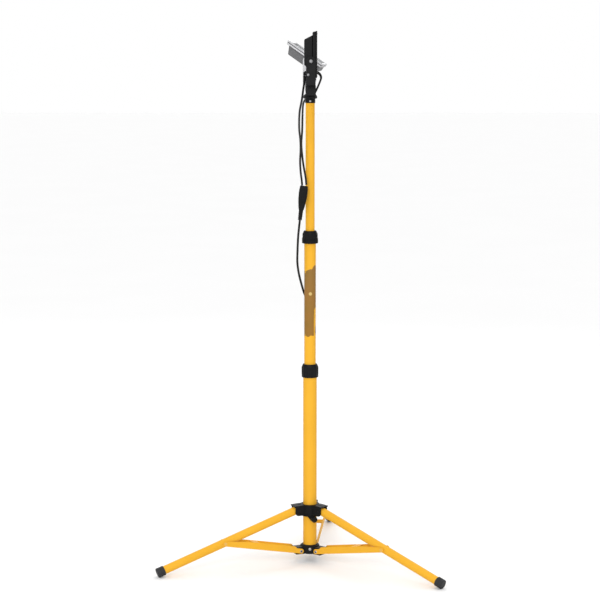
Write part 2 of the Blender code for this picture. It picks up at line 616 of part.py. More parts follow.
def main():
    clear_scene()
    axis = empty("mast_axis", at=(*MAST_AXIS, 0))
    mast(axis)
    collar("lower_collar", LOWER_COLLAR, LOWER_TUBE, MIDDLE_TUBE, axis)
    collar("upper_collar", UPPER_COLLAR, MIDDLE_TUBE, UPPER_TUBE, axis)
    lower_hub(axis)
    upper_hub(axis)
    tripod(axis)
    mast_top(axis)
    for side in LAMP_Y:
        lamp(side, axis)
    splitter(axis)
    cord("lead_right", LEAD_RIGHT_ROUTE, LEAD_RADIUS, axis)
    cord("lead_left", LEAD_LEFT_ROUTE, LEAD_RADIUS, axis)
    cord("mains_cord", CORD_ROUTE, CORD_RADIUS, axis)
    hank(axis)
    plug(axis)


main()
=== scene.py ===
"""Twin LED work light on a telescopic mast with a folding tripod: its looks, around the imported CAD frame.

Metres, +Z up, in the CAD's frame. Places come from the frame's boxes and joints. A shape is made round the
mast axis, a leg's plane or a lamp's tilt axis, and is then put in place with that part's matrix.
"""
import json
import math

import bmesh
import bpy
from mathutils import Matrix, Vector


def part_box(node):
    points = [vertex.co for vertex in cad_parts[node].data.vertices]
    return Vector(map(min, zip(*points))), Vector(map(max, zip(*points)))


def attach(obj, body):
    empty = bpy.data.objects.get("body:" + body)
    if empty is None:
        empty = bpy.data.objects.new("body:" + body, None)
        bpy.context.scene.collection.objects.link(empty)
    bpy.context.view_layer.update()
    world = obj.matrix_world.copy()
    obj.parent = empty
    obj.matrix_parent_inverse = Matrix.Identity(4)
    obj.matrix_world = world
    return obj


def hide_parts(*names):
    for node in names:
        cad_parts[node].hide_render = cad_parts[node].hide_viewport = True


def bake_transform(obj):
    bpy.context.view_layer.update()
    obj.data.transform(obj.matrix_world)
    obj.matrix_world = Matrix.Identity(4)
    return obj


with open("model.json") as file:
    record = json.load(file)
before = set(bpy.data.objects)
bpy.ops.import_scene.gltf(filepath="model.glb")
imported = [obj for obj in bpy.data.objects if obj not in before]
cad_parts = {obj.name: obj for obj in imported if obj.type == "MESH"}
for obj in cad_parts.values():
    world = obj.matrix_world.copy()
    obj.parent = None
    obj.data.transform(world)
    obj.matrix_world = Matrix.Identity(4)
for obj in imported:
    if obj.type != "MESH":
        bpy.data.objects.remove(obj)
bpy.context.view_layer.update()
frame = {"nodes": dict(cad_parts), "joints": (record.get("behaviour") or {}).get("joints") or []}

JOINTS = {joint["name"]: joint for joint in frame["joints"]}


def middle(node):
    low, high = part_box(node)
    return (low + high) / 2


AXIS = Vector((middle("upper_tube").x, middle("upper_tube").y, 0))
MAST = Matrix.Translation(AXIS)


# ---- Materials ------------------------------------------------------------------------------------------


def tools_for(tree):
    """Two functions for a node tree: the first adds a node with its inputs, the second feeds a socket."""
    def feed(socket, value):
        if isinstance(value, bpy.types.NodeSocket):
            tree.links.new(value, socket)
        else:
            socket.default_value = value

    def add(kind, inputs=None, **settings):
        node = tree.nodes.new("ShaderNode" + kind)
        for key, value in settings.items():
            setattr(node, key, value)
        for key, value in (inputs or {}).items():
            feed(node.inputs[key], value)
        return node

    return add, feed


def new_material(name):
    """A material, its shader, and the two functions for its tree."""
    made = bpy.data.materials.new(name)
    made.use_nodes = True
    return made, made.node_tree.nodes["Principled BSDF"], *tools_for(made.node_tree)


def ranged(add, value, low, high, to_low, to_high):
    """A value mapped from one range to another, and kept inside it."""
    inputs = {"Value": value, "From Min": low, "From Max": high, "To Min": to_low, "To Max": to_high}
    return add("MapRange", inputs).outputs["Result"]


def mixed(add, factor, first, second):
    return add("Mix", {0: factor, 6: first, 7: second}, data_type="RGBA").outputs[2]


def times(add, first, second):
    return add("Math", {0: first, 1: second}, operation="MULTIPLY").outputs[0]


def finish(name, colour, roughness, metallic=0.0, specular=0.5, coat=0.0, grain=900.0, bump=0.2, tint=0.10,
           fleck=(), worn=(), label=False):
    """A coated, moulded or plated surface: a mottled colour with flecks, worn edges, and a fine grain.

    The grain is the noise's scale, the bump is its strength, and the tint is the mottling's share.
    """
    made, shader, add, feed = new_material(name)
    place = add("TexCoord").outputs["Object"]

    def noise(scale, detail=2.0):
        return add("TexNoise", {"Vector": place, "Scale": scale, "Detail": detail}).outputs["Fac"]

    dark, light = ((*(min(1.0, c * share) for c in colour), 1.0) for share in (1 - tint, 1 + tint))
    paint = mixed(add, ranged(add, noise(11.0, 4.0), 0.3, 0.7, 0.0, 1.0), dark, light)
    if fleck:
        spots = ranged(add, noise(grain * 0.45), 0.62, 0.70, 0.0, 0.6)
        paint = mixed(add, spots, paint, (*fleck, 1.0))
    if label:
        paint = wrapped(add, place, noise, paint)
    if worn:
        edge = add("Bevel", {"Radius": 0.0011}, samples=4).outputs["Normal"]
        flat = add("NewGeometry").outputs["Normal"]
        turn = add("VectorMath", {0: edge, 1: flat}, operation="DOT_PRODUCT").outputs["Value"]
        patches = ranged(add, noise(85.0, 4.0), 0.48, 0.66, 0.0, 0.75)
        rubbed = times(add, ranged(add, turn, 0.97, 0.86, 0.0, 1.0), patches)
        paint = mixed(add, rubbed, paint, (*worn, 1.0))
    feed(shader.inputs["Base Color"], paint)
    cloud = noise(60.0, 3.0)
    feed(shader.inputs["Roughness"], ranged(add, cloud, 0.3, 0.7, roughness - 0.06, roughness + 0.06))
    relief = add("Bump", {"Height": noise(grain, 3.0), "Strength": bump, "Distance": 0.0004})
    feed(shader.inputs["Normal"], relief.outputs["Normal"])
    for socket, value in (("Metallic", metallic), ("Specular IOR Level", specular), ("Coat Weight", coat),
                          ("Coat Roughness", 0.12)):
        feed(shader.inputs[socket], value)
    return made


LABEL_LOW, LABEL_HIGH = 0.644, 0.829
LABEL_SLOPE = 0.72  # of its upper edge
LABEL_EDGE, LABEL_RAGGED = 0.0004, 0.006
TEAR_SIDE, TEAR_TOP = (0.0095, 0.0125), (0.748, 0.738)  # where the tear starts, and where it is full
LABEL_SPOT, SPOT_RADIUS = Vector((0.001, -0.016, 0.762)), (0.0050, 0.0042)
LABEL_BROWNS = ((0.29, 0.135, 0.024, 1), (0.27, 0.140, 0.040, 1), (0.215, 0.135, 0.026, 1))
SPOT_COLOUR = (0.62, 0.46, 0.17, 1)


def wrapped(add, place, noise, paint):
    """A plain brown sleeve round the middle tube, torn along its edges, with one pale rubbed spot."""
    parts = add("SeparateXYZ", {"Vector": place})
    x, height = (parts.outputs[k] for k in "XZ")
    across = add("Math", {0: x, 1: AXIS.x}, operation="SUBTRACT").outputs[0]
    ragged = ranged(add, noise(95.0, 3.0), 0.3, 0.7, -LABEL_RAGGED, LABEL_RAGGED)
    slant = add("Math", {0: across, 1: -LABEL_SLOPE, 2: height}, operation="MULTIPLY_ADD").outputs[0]
    upper = add("Math", {0: slant, 1: ragged}, operation="ADD").outputs[0]
    lower = add("Math", {0: height, 1: ragged}, operation="ADD").outputs[0]
    sleeve = times(add, ranged(add, upper, LABEL_HIGH + LABEL_EDGE, LABEL_HIGH - LABEL_EDGE, 0.0, 1.0),
                   ranged(add, lower, LABEL_LOW - LABEL_EDGE, LABEL_LOW + LABEL_EDGE, 0.0, 1.0))
    corner = times(add, ranged(add, across, *TEAR_SIDE, 0.0, 1.0), ranged(add, height, *TEAR_TOP, 0.0, 1.0))
    tear = times(add, corner, ranged(add, noise(34.0, 2.0), 0.46, 0.49, 0.0, 1.0))
    sleeve = times(add, sleeve, ranged(add, tear, 0.0, 1.0, 1.0, 0.0))
    low_brown, high_brown, stain = LABEL_BROWNS
    brown = mixed(add, ranged(add, height, LABEL_LOW, LABEL_HIGH, 0.0, 1.0), low_brown, high_brown)
    brown = mixed(add, ranged(add, noise(30.0, 5.0), 0.35, 0.65, 0.0, 0.5), brown, stain)
    paint = mixed(add, sleeve, paint, brown)
    gap = add("VectorMath", {0: place, 1: AXIS + LABEL_SPOT}, operation="DISTANCE").outputs["Value"]
    return mixed(add, ranged(add, gap, *SPOT_RADIUS, 0.0, 0.8), paint, SPOT_COLOUR)


def pane():
    """Clear toughened glass that shows what lies behind it."""
    made, shader, add, feed = new_material("lamp_glass")
    place = add("TexCoord").outputs["Object"]
    smear = add("TexNoise", {"Vector": place, "Scale": 26.0, "Detail": 4.0}).outputs["Fac"]
    feed(shader.inputs["Roughness"], ranged(add, smear, 0.35, 0.7, 0.03, 0.11))
    feed(shader.inputs["Base Color"], mixed(add, smear, (0.80, 0.86, 0.86, 1), (0.90, 0.93, 0.93, 1)))
    feed(shader.inputs["Alpha"], 0.30)
    return made


YELLOW = dict(colour=(0.74, 0.382, 0.027), roughness=0.50, specular=0.12, grain=620, bump=0.10, tint=0.035)
LOOKS = {
    "yellow_paint": dict(YELLOW, worn=(0.80, 0.56, 0.20)),
    "label_paint": dict(YELLOW, label=True),
    "rivet_paint": dict(colour=(0.70, 0.40, 0.075), roughness=0.44, specular=0.25, grain=900, bump=0.15,
                        tint=0.06, worn=(0.70, 0.66, 0.58)),
    "black_plastic": dict(colour=(0.0065, 0.0065, 0.0068), roughness=0.46, specular=0.11, grain=1500,
                          bump=0.35, tint=0.25, fleck=(0.014, 0.014, 0.015), worn=(0.030, 0.030, 0.032)),
    "black_metal": dict(colour=(0.0085, 0.0085, 0.0090), roughness=0.50, specular=0.10, grain=1900,
                        bump=0.45, tint=0.18, fleck=(0.018, 0.018, 0.019), worn=(0.05, 0.05, 0.052)),
    # Painted sheen: the far lamp has the same black paint as the near one. Its silver frame and bracket and
    # its grey back are light reflected off that paint, painted as colour.
    "grey_metal": dict(colour=(0.115, 0.115, 0.118), roughness=0.52, metallic=0.20, specular=0.20,
                       grain=1700, bump=0.4, fleck=(0.15, 0.15, 0.155), worn=(0.26, 0.26, 0.27)),
    "silver_paint": dict(colour=(0.37, 0.37, 0.38), roughness=0.40, metallic=0.35, specular=0.30,
                         grain=2100, tint=0.06, fleck=(0.47, 0.47, 0.49), worn=(0.54, 0.54, 0.55)),
    "steel": dict(colour=(0.36, 0.36, 0.37), roughness=0.34, metallic=1.0, grain=1300, bump=0.12,
                  fleck=(0.26, 0.26, 0.27), worn=(0.55, 0.55, 0.55)),
    "dull_steel": dict(colour=(0.24, 0.24, 0.245), roughness=0.42, metallic=1.0, grain=1300, bump=0.15,
                       tint=0.14, fleck=(0.15, 0.15, 0.15)),
    "rubber": dict(colour=(0.0070, 0.0070, 0.0074), roughness=0.60, specular=0.11, grain=1100, bump=0.30,
                   tint=0.25, fleck=(0.015, 0.015, 0.016)),
    "foot_rubber": dict(colour=(0.026, 0.026, 0.028), roughness=0.62, specular=0.20, grain=1300, bump=0.35,
                        tint=0.20, fleck=(0.040, 0.040, 0.042), worn=(0.060, 0.060, 0.062)),
    "cord_sheath": dict(colour=(0.0085, 0.0085, 0.0090), roughness=0.40, specular=0.14, grain=700,
                        bump=0.12, tint=0.2),
    "seal": dict(colour=(0.006, 0.006, 0.006), roughness=0.7, specular=0.2, grain=800, tint=0.2),
    "reflector": dict(colour=(0.70, 0.71, 0.72), roughness=0.22, metallic=0.85, grain=500, bump=0.15,
                      tint=0.05),
    "led_board": dict(colour=(0.72, 0.73, 0.70), roughness=0.45, grain=1400, bump=0.15, tint=0.04,
                      fleck=(0.55, 0.56, 0.52)),
    "led_lens": dict(colour=(0.82, 0.60, 0.10), roughness=0.30, coat=0.6, bump=0.1, tint=0.08),
}
FINISHES = {name: finish(name, **look) for name, look in LOOKS.items()} | {"lamp_glass": pane()}


# ---- Shapes ---------------------------------------------------------------------------------------------

SLIVER = 4e-6
SMALLEST_CORNER = 5e-5
QUARTER = math.pi / 2
FROM_Z = {"Z": Matrix(), "X": Matrix.Rotation(QUARTER, 4, "Y"), "Y": Matrix.Rotation(-QUARTER, 4, "X")}


def mesh_of(bm):
    bmesh.ops.recalc_face_normals(bm, faces=bm.faces)
    mesh = bpy.data.meshes.new("shape")
    bm.to_mesh(mesh)
    bm.free()
    return mesh


def skin(rings, looped=False):
    """A closed shape over rings of points, capped at both ends, or looped from the last to the first.

    A ring of one point is a pole, where the shape closes.
    """
    bm = bmesh.new()
    count = max(len(ring) for ring in rings)
    rings = [[bm.verts.new(point) for point in ring] * (count // len(ring)) for ring in rings]
    for here, there in zip(rings, rings[1:] + (rings[:1] if looped else [])):
        for k in range(count):
            n = (k + 1) % count
            corners = dict.fromkeys((here[k], here[n], there[n], there[k]))
            if len(corners) > 2:
                bm.faces.new(tuple(corners))
    if not looped:
        bm.faces.new(rings[0][::-1])
        bm.faces.new(rings[-1])
    return mesh_of(bm)


def ripple(turns):
    """A wave between 0 and 1, with one peak in each turn."""
    return 0.5 - 0.5 * math.cos(2 * math.pi * turns)


def softened(outline, radius, steps=4):
    """An outline with its corners rounded. A point may carry its own radius as a third number."""
    rounded = []
    for k, point in enumerate(outline):
        here, before, after = (Vector(outline[j % len(outline)][:2]) for j in (k, k - 1, k + 1))
        back, on = before - here, after - here
        bend = back.angle(on)
        wanted = point[2] if len(point) > 2 else radius
        if wanted <= 0 or bend > math.radians(172):
            rounded.append(tuple(here))
            continue
        reach = min(wanted / math.tan(bend / 2), 0.48 * min(back.length, on.length))
        centre = here + (back.normalized() + on.normalized()).normalized() * reach / math.cos(bend / 2)
        first, last = here + back.normalized() * reach - centre, here + on.normalized() * reach - centre
        start = math.atan2(first.y, first.x)
        sweep = (math.atan2(last.y, last.x) - start + math.pi) % (2 * math.pi) - math.pi
        for s in range(steps + 1):
            a = start + sweep * s / steps
            rounded.append((centre.x + first.length * math.cos(a), centre.y + first.length * math.sin(a)))
    return rounded


def inset(corners, depth):
    """A counter-clockwise outline of (a, b, corner radius) with every side moved inwards."""
    moved_in = []
    for k, (*point, radius) in enumerate(corners):
        here, before = Vector(point), Vector(corners[k - 1][:2])
        after = Vector(corners[(k + 1) % len(corners)][:2])
        one, two = (here - before).normalized(), (after - here).normalized()
        hollow = one.cross(two) < 0
        one, two = Vector((-one.y, one.x)), Vector((-two.y, two.x))
        shifted = here + (one + two) * depth / max(0.35, 1 + one.dot(two))
        if radius:
            radius = max(SMALLEST_CORNER, radius + depth if hollow else radius - depth)
        moved_in.append((*shifted, radius))
    return moved_in


def prism(outline, low, high, axis="Y", rim=0.0005, soft=0.0):
    """An outline pulled along an axis, with rounded rims: (x, z) for Y, (x, y) for Z, and (y, z) for X."""
    corners = [(*p[:2], p[2] if len(p) > 2 else soft) for p in outline]
    if sum(a[0] * b[1] - b[0] * a[1] for a, b in zip(corners, corners[1:] + corners[:1])) < 0:
        corners.reverse()
    turns = [math.radians(a) for a in ((0, 30, 60, 90) if rim else (90,))]
    steps = [(rim * (1 - math.sin(a)), rim * (1 - math.cos(a))) for a in turns]
    levels = [(depth, low + up) for depth, up in steps]
    levels += [(depth, high - up) for depth, up in reversed(steps)]
    order = {"Y": (0, 2, 1), "Z": (0, 1, 2), "X": (2, 0, 1)}[axis]
    rings = []
    for depth, level in levels:
        flat = [(*p, level) for p in softened(inset(corners, depth), 0)]
        rings.append([tuple(p[k] for k in order) for p in flat])
    return skin(rings)


def block(low, high, rim=0.0005, soft=0.0, axis="Y"):
    (x0, y0, z0), (x1, y1, z1) = low, high
    a, b, c = {"Y": ((x0, x1), (z0, z1), (y0, y1)), "Z": ((x0, x1), (y0, y1), (z0, z1)),
               "X": ((y0, y1), (z0, z1), (x0, x1))}[axis]
    return prism([(a[0], b[0]), (a[1], b[0]), (a[1], b[1]), (a[0], b[1])], *c, axis, rim, soft)


def lathe(profile, segments=64, axis="Z", soft=0.0, wave=None):
    """A closed profile of (radius, height) points turned about an axis, with softened corners.

    A wave is (count, depth, low, high): that many hollows of that depth round the part between two heights.
    """
    if soft or any(len(p) > 2 for p in profile):
        profile = softened([(*p[:2], 0) if p[0] == 0 else p for p in profile], soft, 3)
    outermost = max(p[0] for p in profile)
    rings = []
    for radius, height in profile:
        waved = wave and radius > 0.86 * outermost and wave[2] <= height <= wave[3]
        ring = []
        for k in range(1 if radius < 1e-7 else segments):
            a = 2 * math.pi * k / segments
            r = radius - wave[1] * ripple(wave[0] * k / segments) ** 1.5 if waved else radius
            ring.append((r * math.cos(a), r * math.sin(a), height))
        rings.append(ring)
    turned = skin(rings, looped=True)
    turned.transform(FROM_Z[axis])
    return turned


def tube(outer, inner, bottom, top):
    return lathe([(outer, bottom), (outer, top), (inner, top), (inner, bottom)], 96, soft=0.0004)


def rod(radius, start, end, axis="Z", segments=32):
    return lathe([(0, start), (radius, start), (radius, end), (0, end)], segments, axis)


def arc(centre, radius, start, end, steps=10):
    angles = [math.radians(start + (end - start) * k / steps) for k in range(steps + 1)]
    return [(centre[0] + radius * math.cos(a), centre[1] + radius * math.sin(a)) for a in angles]


def put(mesh, offset=(0, 0, 0), turn=0.0):
    """The mesh shifted, and then turned about Z by this many degrees."""
    mesh.transform(Matrix.Rotation(math.radians(turn), 4, "Z") @ Matrix.Translation(offset))
    return mesh


def combined(mesh, others, operation):
    """A mesh after a Boolean with each of the others."""
    base = bpy.data.objects.new("base", mesh)
    bpy.context.scene.collection.objects.link(base)
    helpers = []
    for other in others:
        helper = bpy.data.objects.new("helper", other)
        bpy.context.scene.collection.objects.link(helper)
        helpers.append(helper)
        boolean = base.modifiers.new("Boolean", "BOOLEAN")
        boolean.operation = operation
        boolean.object = helper
    bpy.context.view_layer.update()
    result = bpy.data.meshes.new_from_object(base.evaluated_get(bpy.context.evaluated_depsgraph_get()))
    for used in (base, *helpers):
        bpy.data.objects.remove(used)
    return without_slivers(result)


def without_slivers(mesh):
    """The mesh with the tiny edges that a Boolean can leave closed up."""
    bm = bmesh.new()
    bm.from_mesh(mesh)
    bmesh.ops.remove_doubles(bm, verts=bm.verts, dist=SLIVER)
    bmesh.ops.dissolve_degenerate(bm, edges=bm.edges, dist=SLIVER)
    return mesh_of(bm)


def joined(*meshes):
    return combined(meshes[0], meshes[1:], "UNION")


def cut(mesh, *tools):
    return combined(mesh, tools, "DIFFERENCE")


def gathered(*meshes):
    """Several meshes that don't touch, as one."""
    bm = bmesh.new()
    for mesh in meshes:
        bm.from_mesh(mesh)
    return mesh_of(bm)


def hose(path, radii, segments=20):
    """A closed round tube along points. The radius is one number, or one for each point."""
    path = [Vector(p) for p in path]
    if not hasattr(radii, "__len__"):
        radii = [radii] * len(path)
    turns = [2 * math.pi * s / segments for s in range(segments)]
    rings, side = [], None
    for k, point in enumerate(path):
        along = (path[min(k + 1, len(path) - 1)] - path[max(k - 1, 0)]).normalized()
        if side is None:
            side = along.orthogonal()
        side = (side - along * side.dot(along)).normalized()
        up = along.cross(side)
        rings.append([point + radii[k] * (side * math.cos(a) + up * math.sin(a)) for a in turns])
    return skin(rings)


def smooth_route(points, spacing):
    """Points about this far apart on a smooth curve through a route's own points."""
    knots = [Vector(p) for p in points]
    knots = [2 * knots[0] - knots[1], *knots, 2 * knots[-1] - knots[-2]]
    dense = []
    for a, b, c, d in zip(knots, knots[1:], knots[2:], knots[3:]):
        for k in range(12):
            t = k / 12
            dense.append(0.5 * (2 * b + (c - a) * t + (2 * a - 5 * b + 4 * c - d) * t**2
                                + (3 * b - 3 * c + d - a) * t**3))
    dense.append(knots[-2])
    whole = length_of(dense)
    step = whole / max(2, round(whole / spacing))
    spaced, run = [dense[0]], 0.0
    for p, q in zip(dense, dense[1:]):
        part = (q - p).length
        while run + part >= step - 1e-9:
            p = p.lerp(q, min(1.0, (step - run) / part))
            spaced.append(p)
            part = (q - p).length
            run = 0.0
        run += part
    spaced[-1] = dense[-1]
    return spaced


def length_of(path):
    return sum((q - p).length for p, q in zip(path, path[1:]))


# ---- Pieces ---------------------------------------------------------------------------------------------

SHARP_EDGE = 40.0  # degrees


def piece(name, mesh, finish_name, body=None, replaced=None, at=MAST):
    """One shown piece in its place, on the body that it rides on, and for the node that it replaces."""
    mesh.transform(at)
    mesh.materials.clear()
    mesh.materials.append(FINISHES[finish_name])
    mesh.shade_smooth()
    mesh.set_sharp_from_angle(angle=math.radians(SHARP_EDGE))
    made = bpy.data.objects.new(name, mesh)
    bpy.context.scene.collection.objects.link(made)
    normals = made.modifiers.new("Normals", "WEIGHTED_NORMAL")
    normals.keep_sharp = True
    if body:
        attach(made, body)
    if replaced:
        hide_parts(replaced)
    return made


def shown_node(name, finish_name):
    """A CAD node that is shown as it is, with a finish of its own."""
    mesh = frame["nodes"][name].data
    mesh.materials.clear()
    mesh.materials.append(FINISHES[finish_name])


def screw_head(radius, height, seat, axis="Z", driver="cross"):
    """A domed screw head standing on its seat, with a cross or a hexagon sunk in it."""
    dome = ((0, 0), (1, 0), (1, 0.25), (0.93, 0.55), (0.70, 0.86), (0.35, 1), (0, 1))
    head = lathe([(across * radius, seat + up * height) for across, up in dome], 40, soft=0.00012)
    top, deep, recess = seat + height + 0.001, seat + 0.45 * height, 0.45 * radius
    if driver == "cross":
        arm, thick = 1.25 * recess, 0.30 * recess
        tool = joined(block((-arm, -thick, deep), (arm, thick, top), 0),
                      block((-thick, -arm, deep), (thick, arm, top), 0))
    else:
        tool = prism(arc((0, 0), recess, 0, 300, 5), deep, top, "Z", 0)
    head = cut(head, tool)
    head.transform(FROM_Z[axis])
    return head


def screw(radius, height, seat, shank, tail, axis, driver="cross"):
    """A screw's head on its seat, and its shank down to its tail."""
    return joined(screw_head(radius, height, seat, axis, driver), rod(shank, tail, seat + 0.0002, axis))


# ---- The camera and the stage ---------------------------------------------------------------------------

CAMERA_PLACE = (0.0022, -5.050, 1.416)
CAMERA_PITCH = 7.67  # degrees down
FOCAL_LENGTH = 109.2
TENT_BRIGHT, TENT_SIDE = 1.30, 0.45  # strengths


def camera():
    data = bpy.data.cameras.new("camera")
    data.lens = FOCAL_LENGTH
    data.sensor_width = 36.0
    data.clip_end = 100.0
    made = bpy.data.objects.new("camera", data)
    made.location = CAMERA_PLACE
    made.rotation_euler = (math.radians(90 - CAMERA_PITCH), 0, 0)
    bpy.context.scene.collection.objects.link(made)
    bpy.context.scene.camera = made


def area_light(name, place, aim, size, power):
    data = bpy.data.lights.new(name, "AREA")
    data.shape, data.size, data.energy = "DISK", size, power
    made = bpy.data.objects.new(name, data)
    made.location = place
    made.rotation_euler = (Vector(aim) - Vector(place)).to_track_quat("-Z", "Y").to_euler()
    bpy.context.scene.collection.objects.link(made)


def tent():
    """A white light tent. Its sides look as white as the rest, and throw less light."""
    world = bpy.data.worlds.new("tent")
    world.use_nodes = True
    add, feed = tools_for(world.node_tree)
    parts = add("SeparateXYZ", {"Vector": add("TexCoord").outputs["Generated"]})
    side = add("Math", {0: parts.outputs["X"]}, operation="ABSOLUTE").outputs[0]
    levels = {"Value": side, "From Min": 0.35, "From Max": 0.95, "To Min": TENT_BRIGHT, "To Max": TENT_SIDE}
    light = add("MapRange", levels, interpolation_type="SMOOTHSTEP").outputs["Result"]
    seen = add("LightPath").outputs["Is Camera Ray"]
    shown = add("Mix", {"Factor": seen, "A": light, "B": 1.0}).outputs["Result"]
    background = world.node_tree.nodes["Background"]
    feed(background.inputs["Strength"], shown)
    feed(background.inputs["Color"], (1, 1, 1, 1))
    bpy.context.scene.world = world
    bpy.context.scene.view_settings.view_transform = "Standard"


def studio():
    """A plain pale floor in a light tent, with a soft light in front and one behind."""
    floor = bpy.data.objects.new("floor", block((-40, -40, -0.02), (40, 40, 0), 0))
    bpy.context.scene.collection.objects.link(floor)
    made, shader, add, feed = new_material("floor")
    place = add("TexCoord").outputs["Object"]
    cloud = add("TexNoise", {"Vector": place, "Scale": 1.5, "Detail": 3.0}).outputs["Fac"]
    feed(shader.inputs["Base Color"], mixed(add, cloud, (0.88, 0.88, 0.88, 1), (0.90, 0.90, 0.90, 1)))
    feed(shader.inputs["Roughness"], 0.9)
    feed(shader.inputs["Specular IOR Level"], 0.1)
    floor.data.materials.append(made)
    tent()
    area_light("key", (-0.7, -4.2, 2.4), (0, 0, 0.9), 1.4, 60)
    area_light("rim", (0.6, 3.0, 2.8), (0, 0, 1.0), 1.8, 20)


# ---- Leads and cord -------------------------------------------------------------------------------------

LEAD_RADIUS = 0.0028
CORD_RADIUS = 0.0030
LEAD_ROUTES = {
    "right": (
        (-0.0155, -0.2500, 1.3626), (-0.0160, -0.2500, 1.3500), (-0.0190, -0.2460, 1.3300),
        (-0.0230, -0.2280, 1.3000), (-0.0285, -0.1900, 1.2700), (-0.0300, -0.1500, 1.2430),
        (-0.0297, -0.1120, 1.2160), (-0.0270, -0.0820, 1.1900), (-0.0262, -0.0600, 1.1600),
        (-0.0275, -0.0460, 1.1300), (-0.0260, -0.0390, 1.1000), (-0.0228, -0.0362, 1.0750),
        (-0.0219, -0.0360, 1.0632),
    ),
    "left": (
        (0.0220, 0.2481, 1.3656), (0.0288, 0.2475, 1.3609), (0.0326, 0.2460, 1.3512),
        (0.0280, 0.2420, 1.3370), (0.0215, 0.2380, 1.3220), (0.0130, 0.2290, 1.3060),
        (0.0000, 0.2100, 1.2980), (-0.0120, 0.1800, 1.2920), (-0.0185, 0.1450, 1.2800),
        (-0.0205, 0.1020, 1.2580), (-0.0212, 0.0640, 1.2320), (-0.0220, 0.0370, 1.2060),
        (-0.0240, 0.0130, 1.1750), (-0.0220, -0.0060, 1.1450), (-0.0180, -0.0220, 1.1150),
        (-0.0125, -0.0325, 1.0850), (-0.0105, -0.0358, 1.0645),
    ),
}
CORD_ROUTE = (
    (-0.0282, -0.0360, 0.9678), (-0.0300, -0.0360, 0.9520), (-0.0330, -0.0360, 0.9200),
    (-0.0345, -0.0330, 0.8850), (-0.0350, -0.0240, 0.8500), (-0.0305, -0.0080, 0.8150),
    (-0.0215, 0.0080, 0.7780), (-0.0165, 0.0165, 0.7610), (-0.0132, 0.0225, 0.7520),
    (-0.0112, 0.0268, 0.7475),
)
# Heights: where a lead's upper part hands over to its lower part, and where the mains cord's upper part ends
# at its split.
ARM_END = {"right": 1.312, "left": 1.330}
CORD_SPLIT = 0.850
BOOT_LENGTH, BOOT_RINGS, BOOT_GROOVE = 0.0215, 5, 0.0006
BOOT_THICK, BOOT_THIN = 0.0046, 0.0033
SPLITTER_TILT = 7.0  # degrees
SPLITTER_LENGTH, RELIEF_START, RELIEF_RINGS, RELIEF_GROOVE = 0.094, 0.066, 5, 0.0007
HANK_STRANDS = 5
STRAND_PITCH = 0.0060
HANK_GAP = 0.0001


def parted(path, height):
    """A falling path cut in two at its first point below a height. Both parts hold that point."""
    at = next(k for k, point in enumerate(path) if point.z < height)
    return path[:at + 1], path[at:]


def boot(path):
    """A ribbed strain relief that tapers along the first part of a path."""
    points, radii, run = [], [], 0.0
    fine = smooth_route(path, 0.0012)
    for p, q in zip(fine, fine[1:]):
        if run <= BOOT_LENGTH:
            share = run / BOOT_LENGTH
            groove = BOOT_GROOVE * ripple(BOOT_RINGS * share) if 0.08 < share < 0.95 else 0
            points.append(p)
            radii.append(BOOT_THICK + (BOOT_THIN - BOOT_THICK) * share - groove)
        run += (q - p).length
    return hose(points, radii, 28)


def on_axis(route):
    return [AXIS + Vector(p) for p in route]


def flexible(name, path, radius, replaced=None):
    """A cord along its path across the joint between two bodies, made as one piece on no body."""
    made = piece(name, hose(path, radius), "cord_sheath", replaced=replaced, at=Matrix())
    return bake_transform(made)


def lead(side):
    """A lamp's lead in two parts, with the boot where it leaves the lamp."""
    path = smooth_route(on_axis(LEAD_ROUTES[side]), 0.0068)
    upper, lower = parted(path, ARM_END[side])
    upper = smooth_route(upper, 0.0034)
    first = flexible(f"lead_{side}_upper", upper, LEAD_RADIUS)
    second = flexible(f"lead_{side}_lower", lower, LEAD_RADIUS,
                      replaced=f"lead_{side}")
    gland = piece(f"lead_boot_{side}", boot(upper), "rubber", at=Matrix())
    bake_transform(gland)
    return first, second, upper, lower, gland


def splitter():
    """The moulding that joins the two leads to the cord, with a ribbed strain relief below."""
    low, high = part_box("cord_splitter")
    top = Vector((high.x - 0.0120, (low.y + high.y) / 2, high.z - 0.0015))
    # Each station is a distance down, a half width, a half depth and a power that squares its corners.
    stations = [(0.0, 0.0094, 0.0048, 3.0), (0.0006, 0.0102, 0.0056, 3.0), (0.002, 0.0108, 0.0061, 3.0),
                (0.012, 0.0118, 0.0063, 3.0), (0.022, 0.0120, 0.0064, 3.0), (0.034, 0.0115, 0.0064, 3.0),
                (0.046, 0.0103, 0.0064, 2.8), (0.058, 0.0085, 0.0062, 2.5), (0.065, 0.0071, 0.0060, 2.2)]
    for share in (k / 20 for k in range(21)):
        radius = 0.0064 - 0.0008 * share - RELIEF_GROOVE * ripple(RELIEF_RINGS * share)
        stations.append((RELIEF_START + (SPLITTER_LENGTH - RELIEF_START) * share, radius, radius, 2.0))
    turns = [2 * math.pi * k / 48 for k in range(48)]

    def squared(ratio, power):
        return math.copysign(abs(ratio) ** (2 / power), ratio)

    body = skin([[(wide * squared(math.cos(a), power), deep * squared(math.sin(a), power), -down)
                  for a in turns] for down, wide, deep, power in stations])
    panel = prism([(-0.0085, -0.046), (0.0085, -0.046), (0.0090, -0.008), (-0.0090, -0.008)], -0.02, 0.02,
                  rim=0, soft=0.003)
    hollow = cut(panel, block((-0.03, -0.0058, -0.1), (0.03, 0.0058, 0.1), 0))
    screws = [put(screw_head(0.0024, 0.0009, 0.0056, axis="Y"), (0, 0, z)) for z in (-0.015, -0.038)]
    place = Matrix.Translation(top) @ Matrix.Rotation(math.radians(SPLITTER_TILT), 4, "Y")
    made = piece("splitter_body", cut(body, hollow), "rubber", "head", "cord_splitter", place)
    place = place @ Matrix.Rotation(math.pi, 4, "Z")
    piece("splitter_screws", gathered(*screws), "black_metal", "head", at=place)
    return made


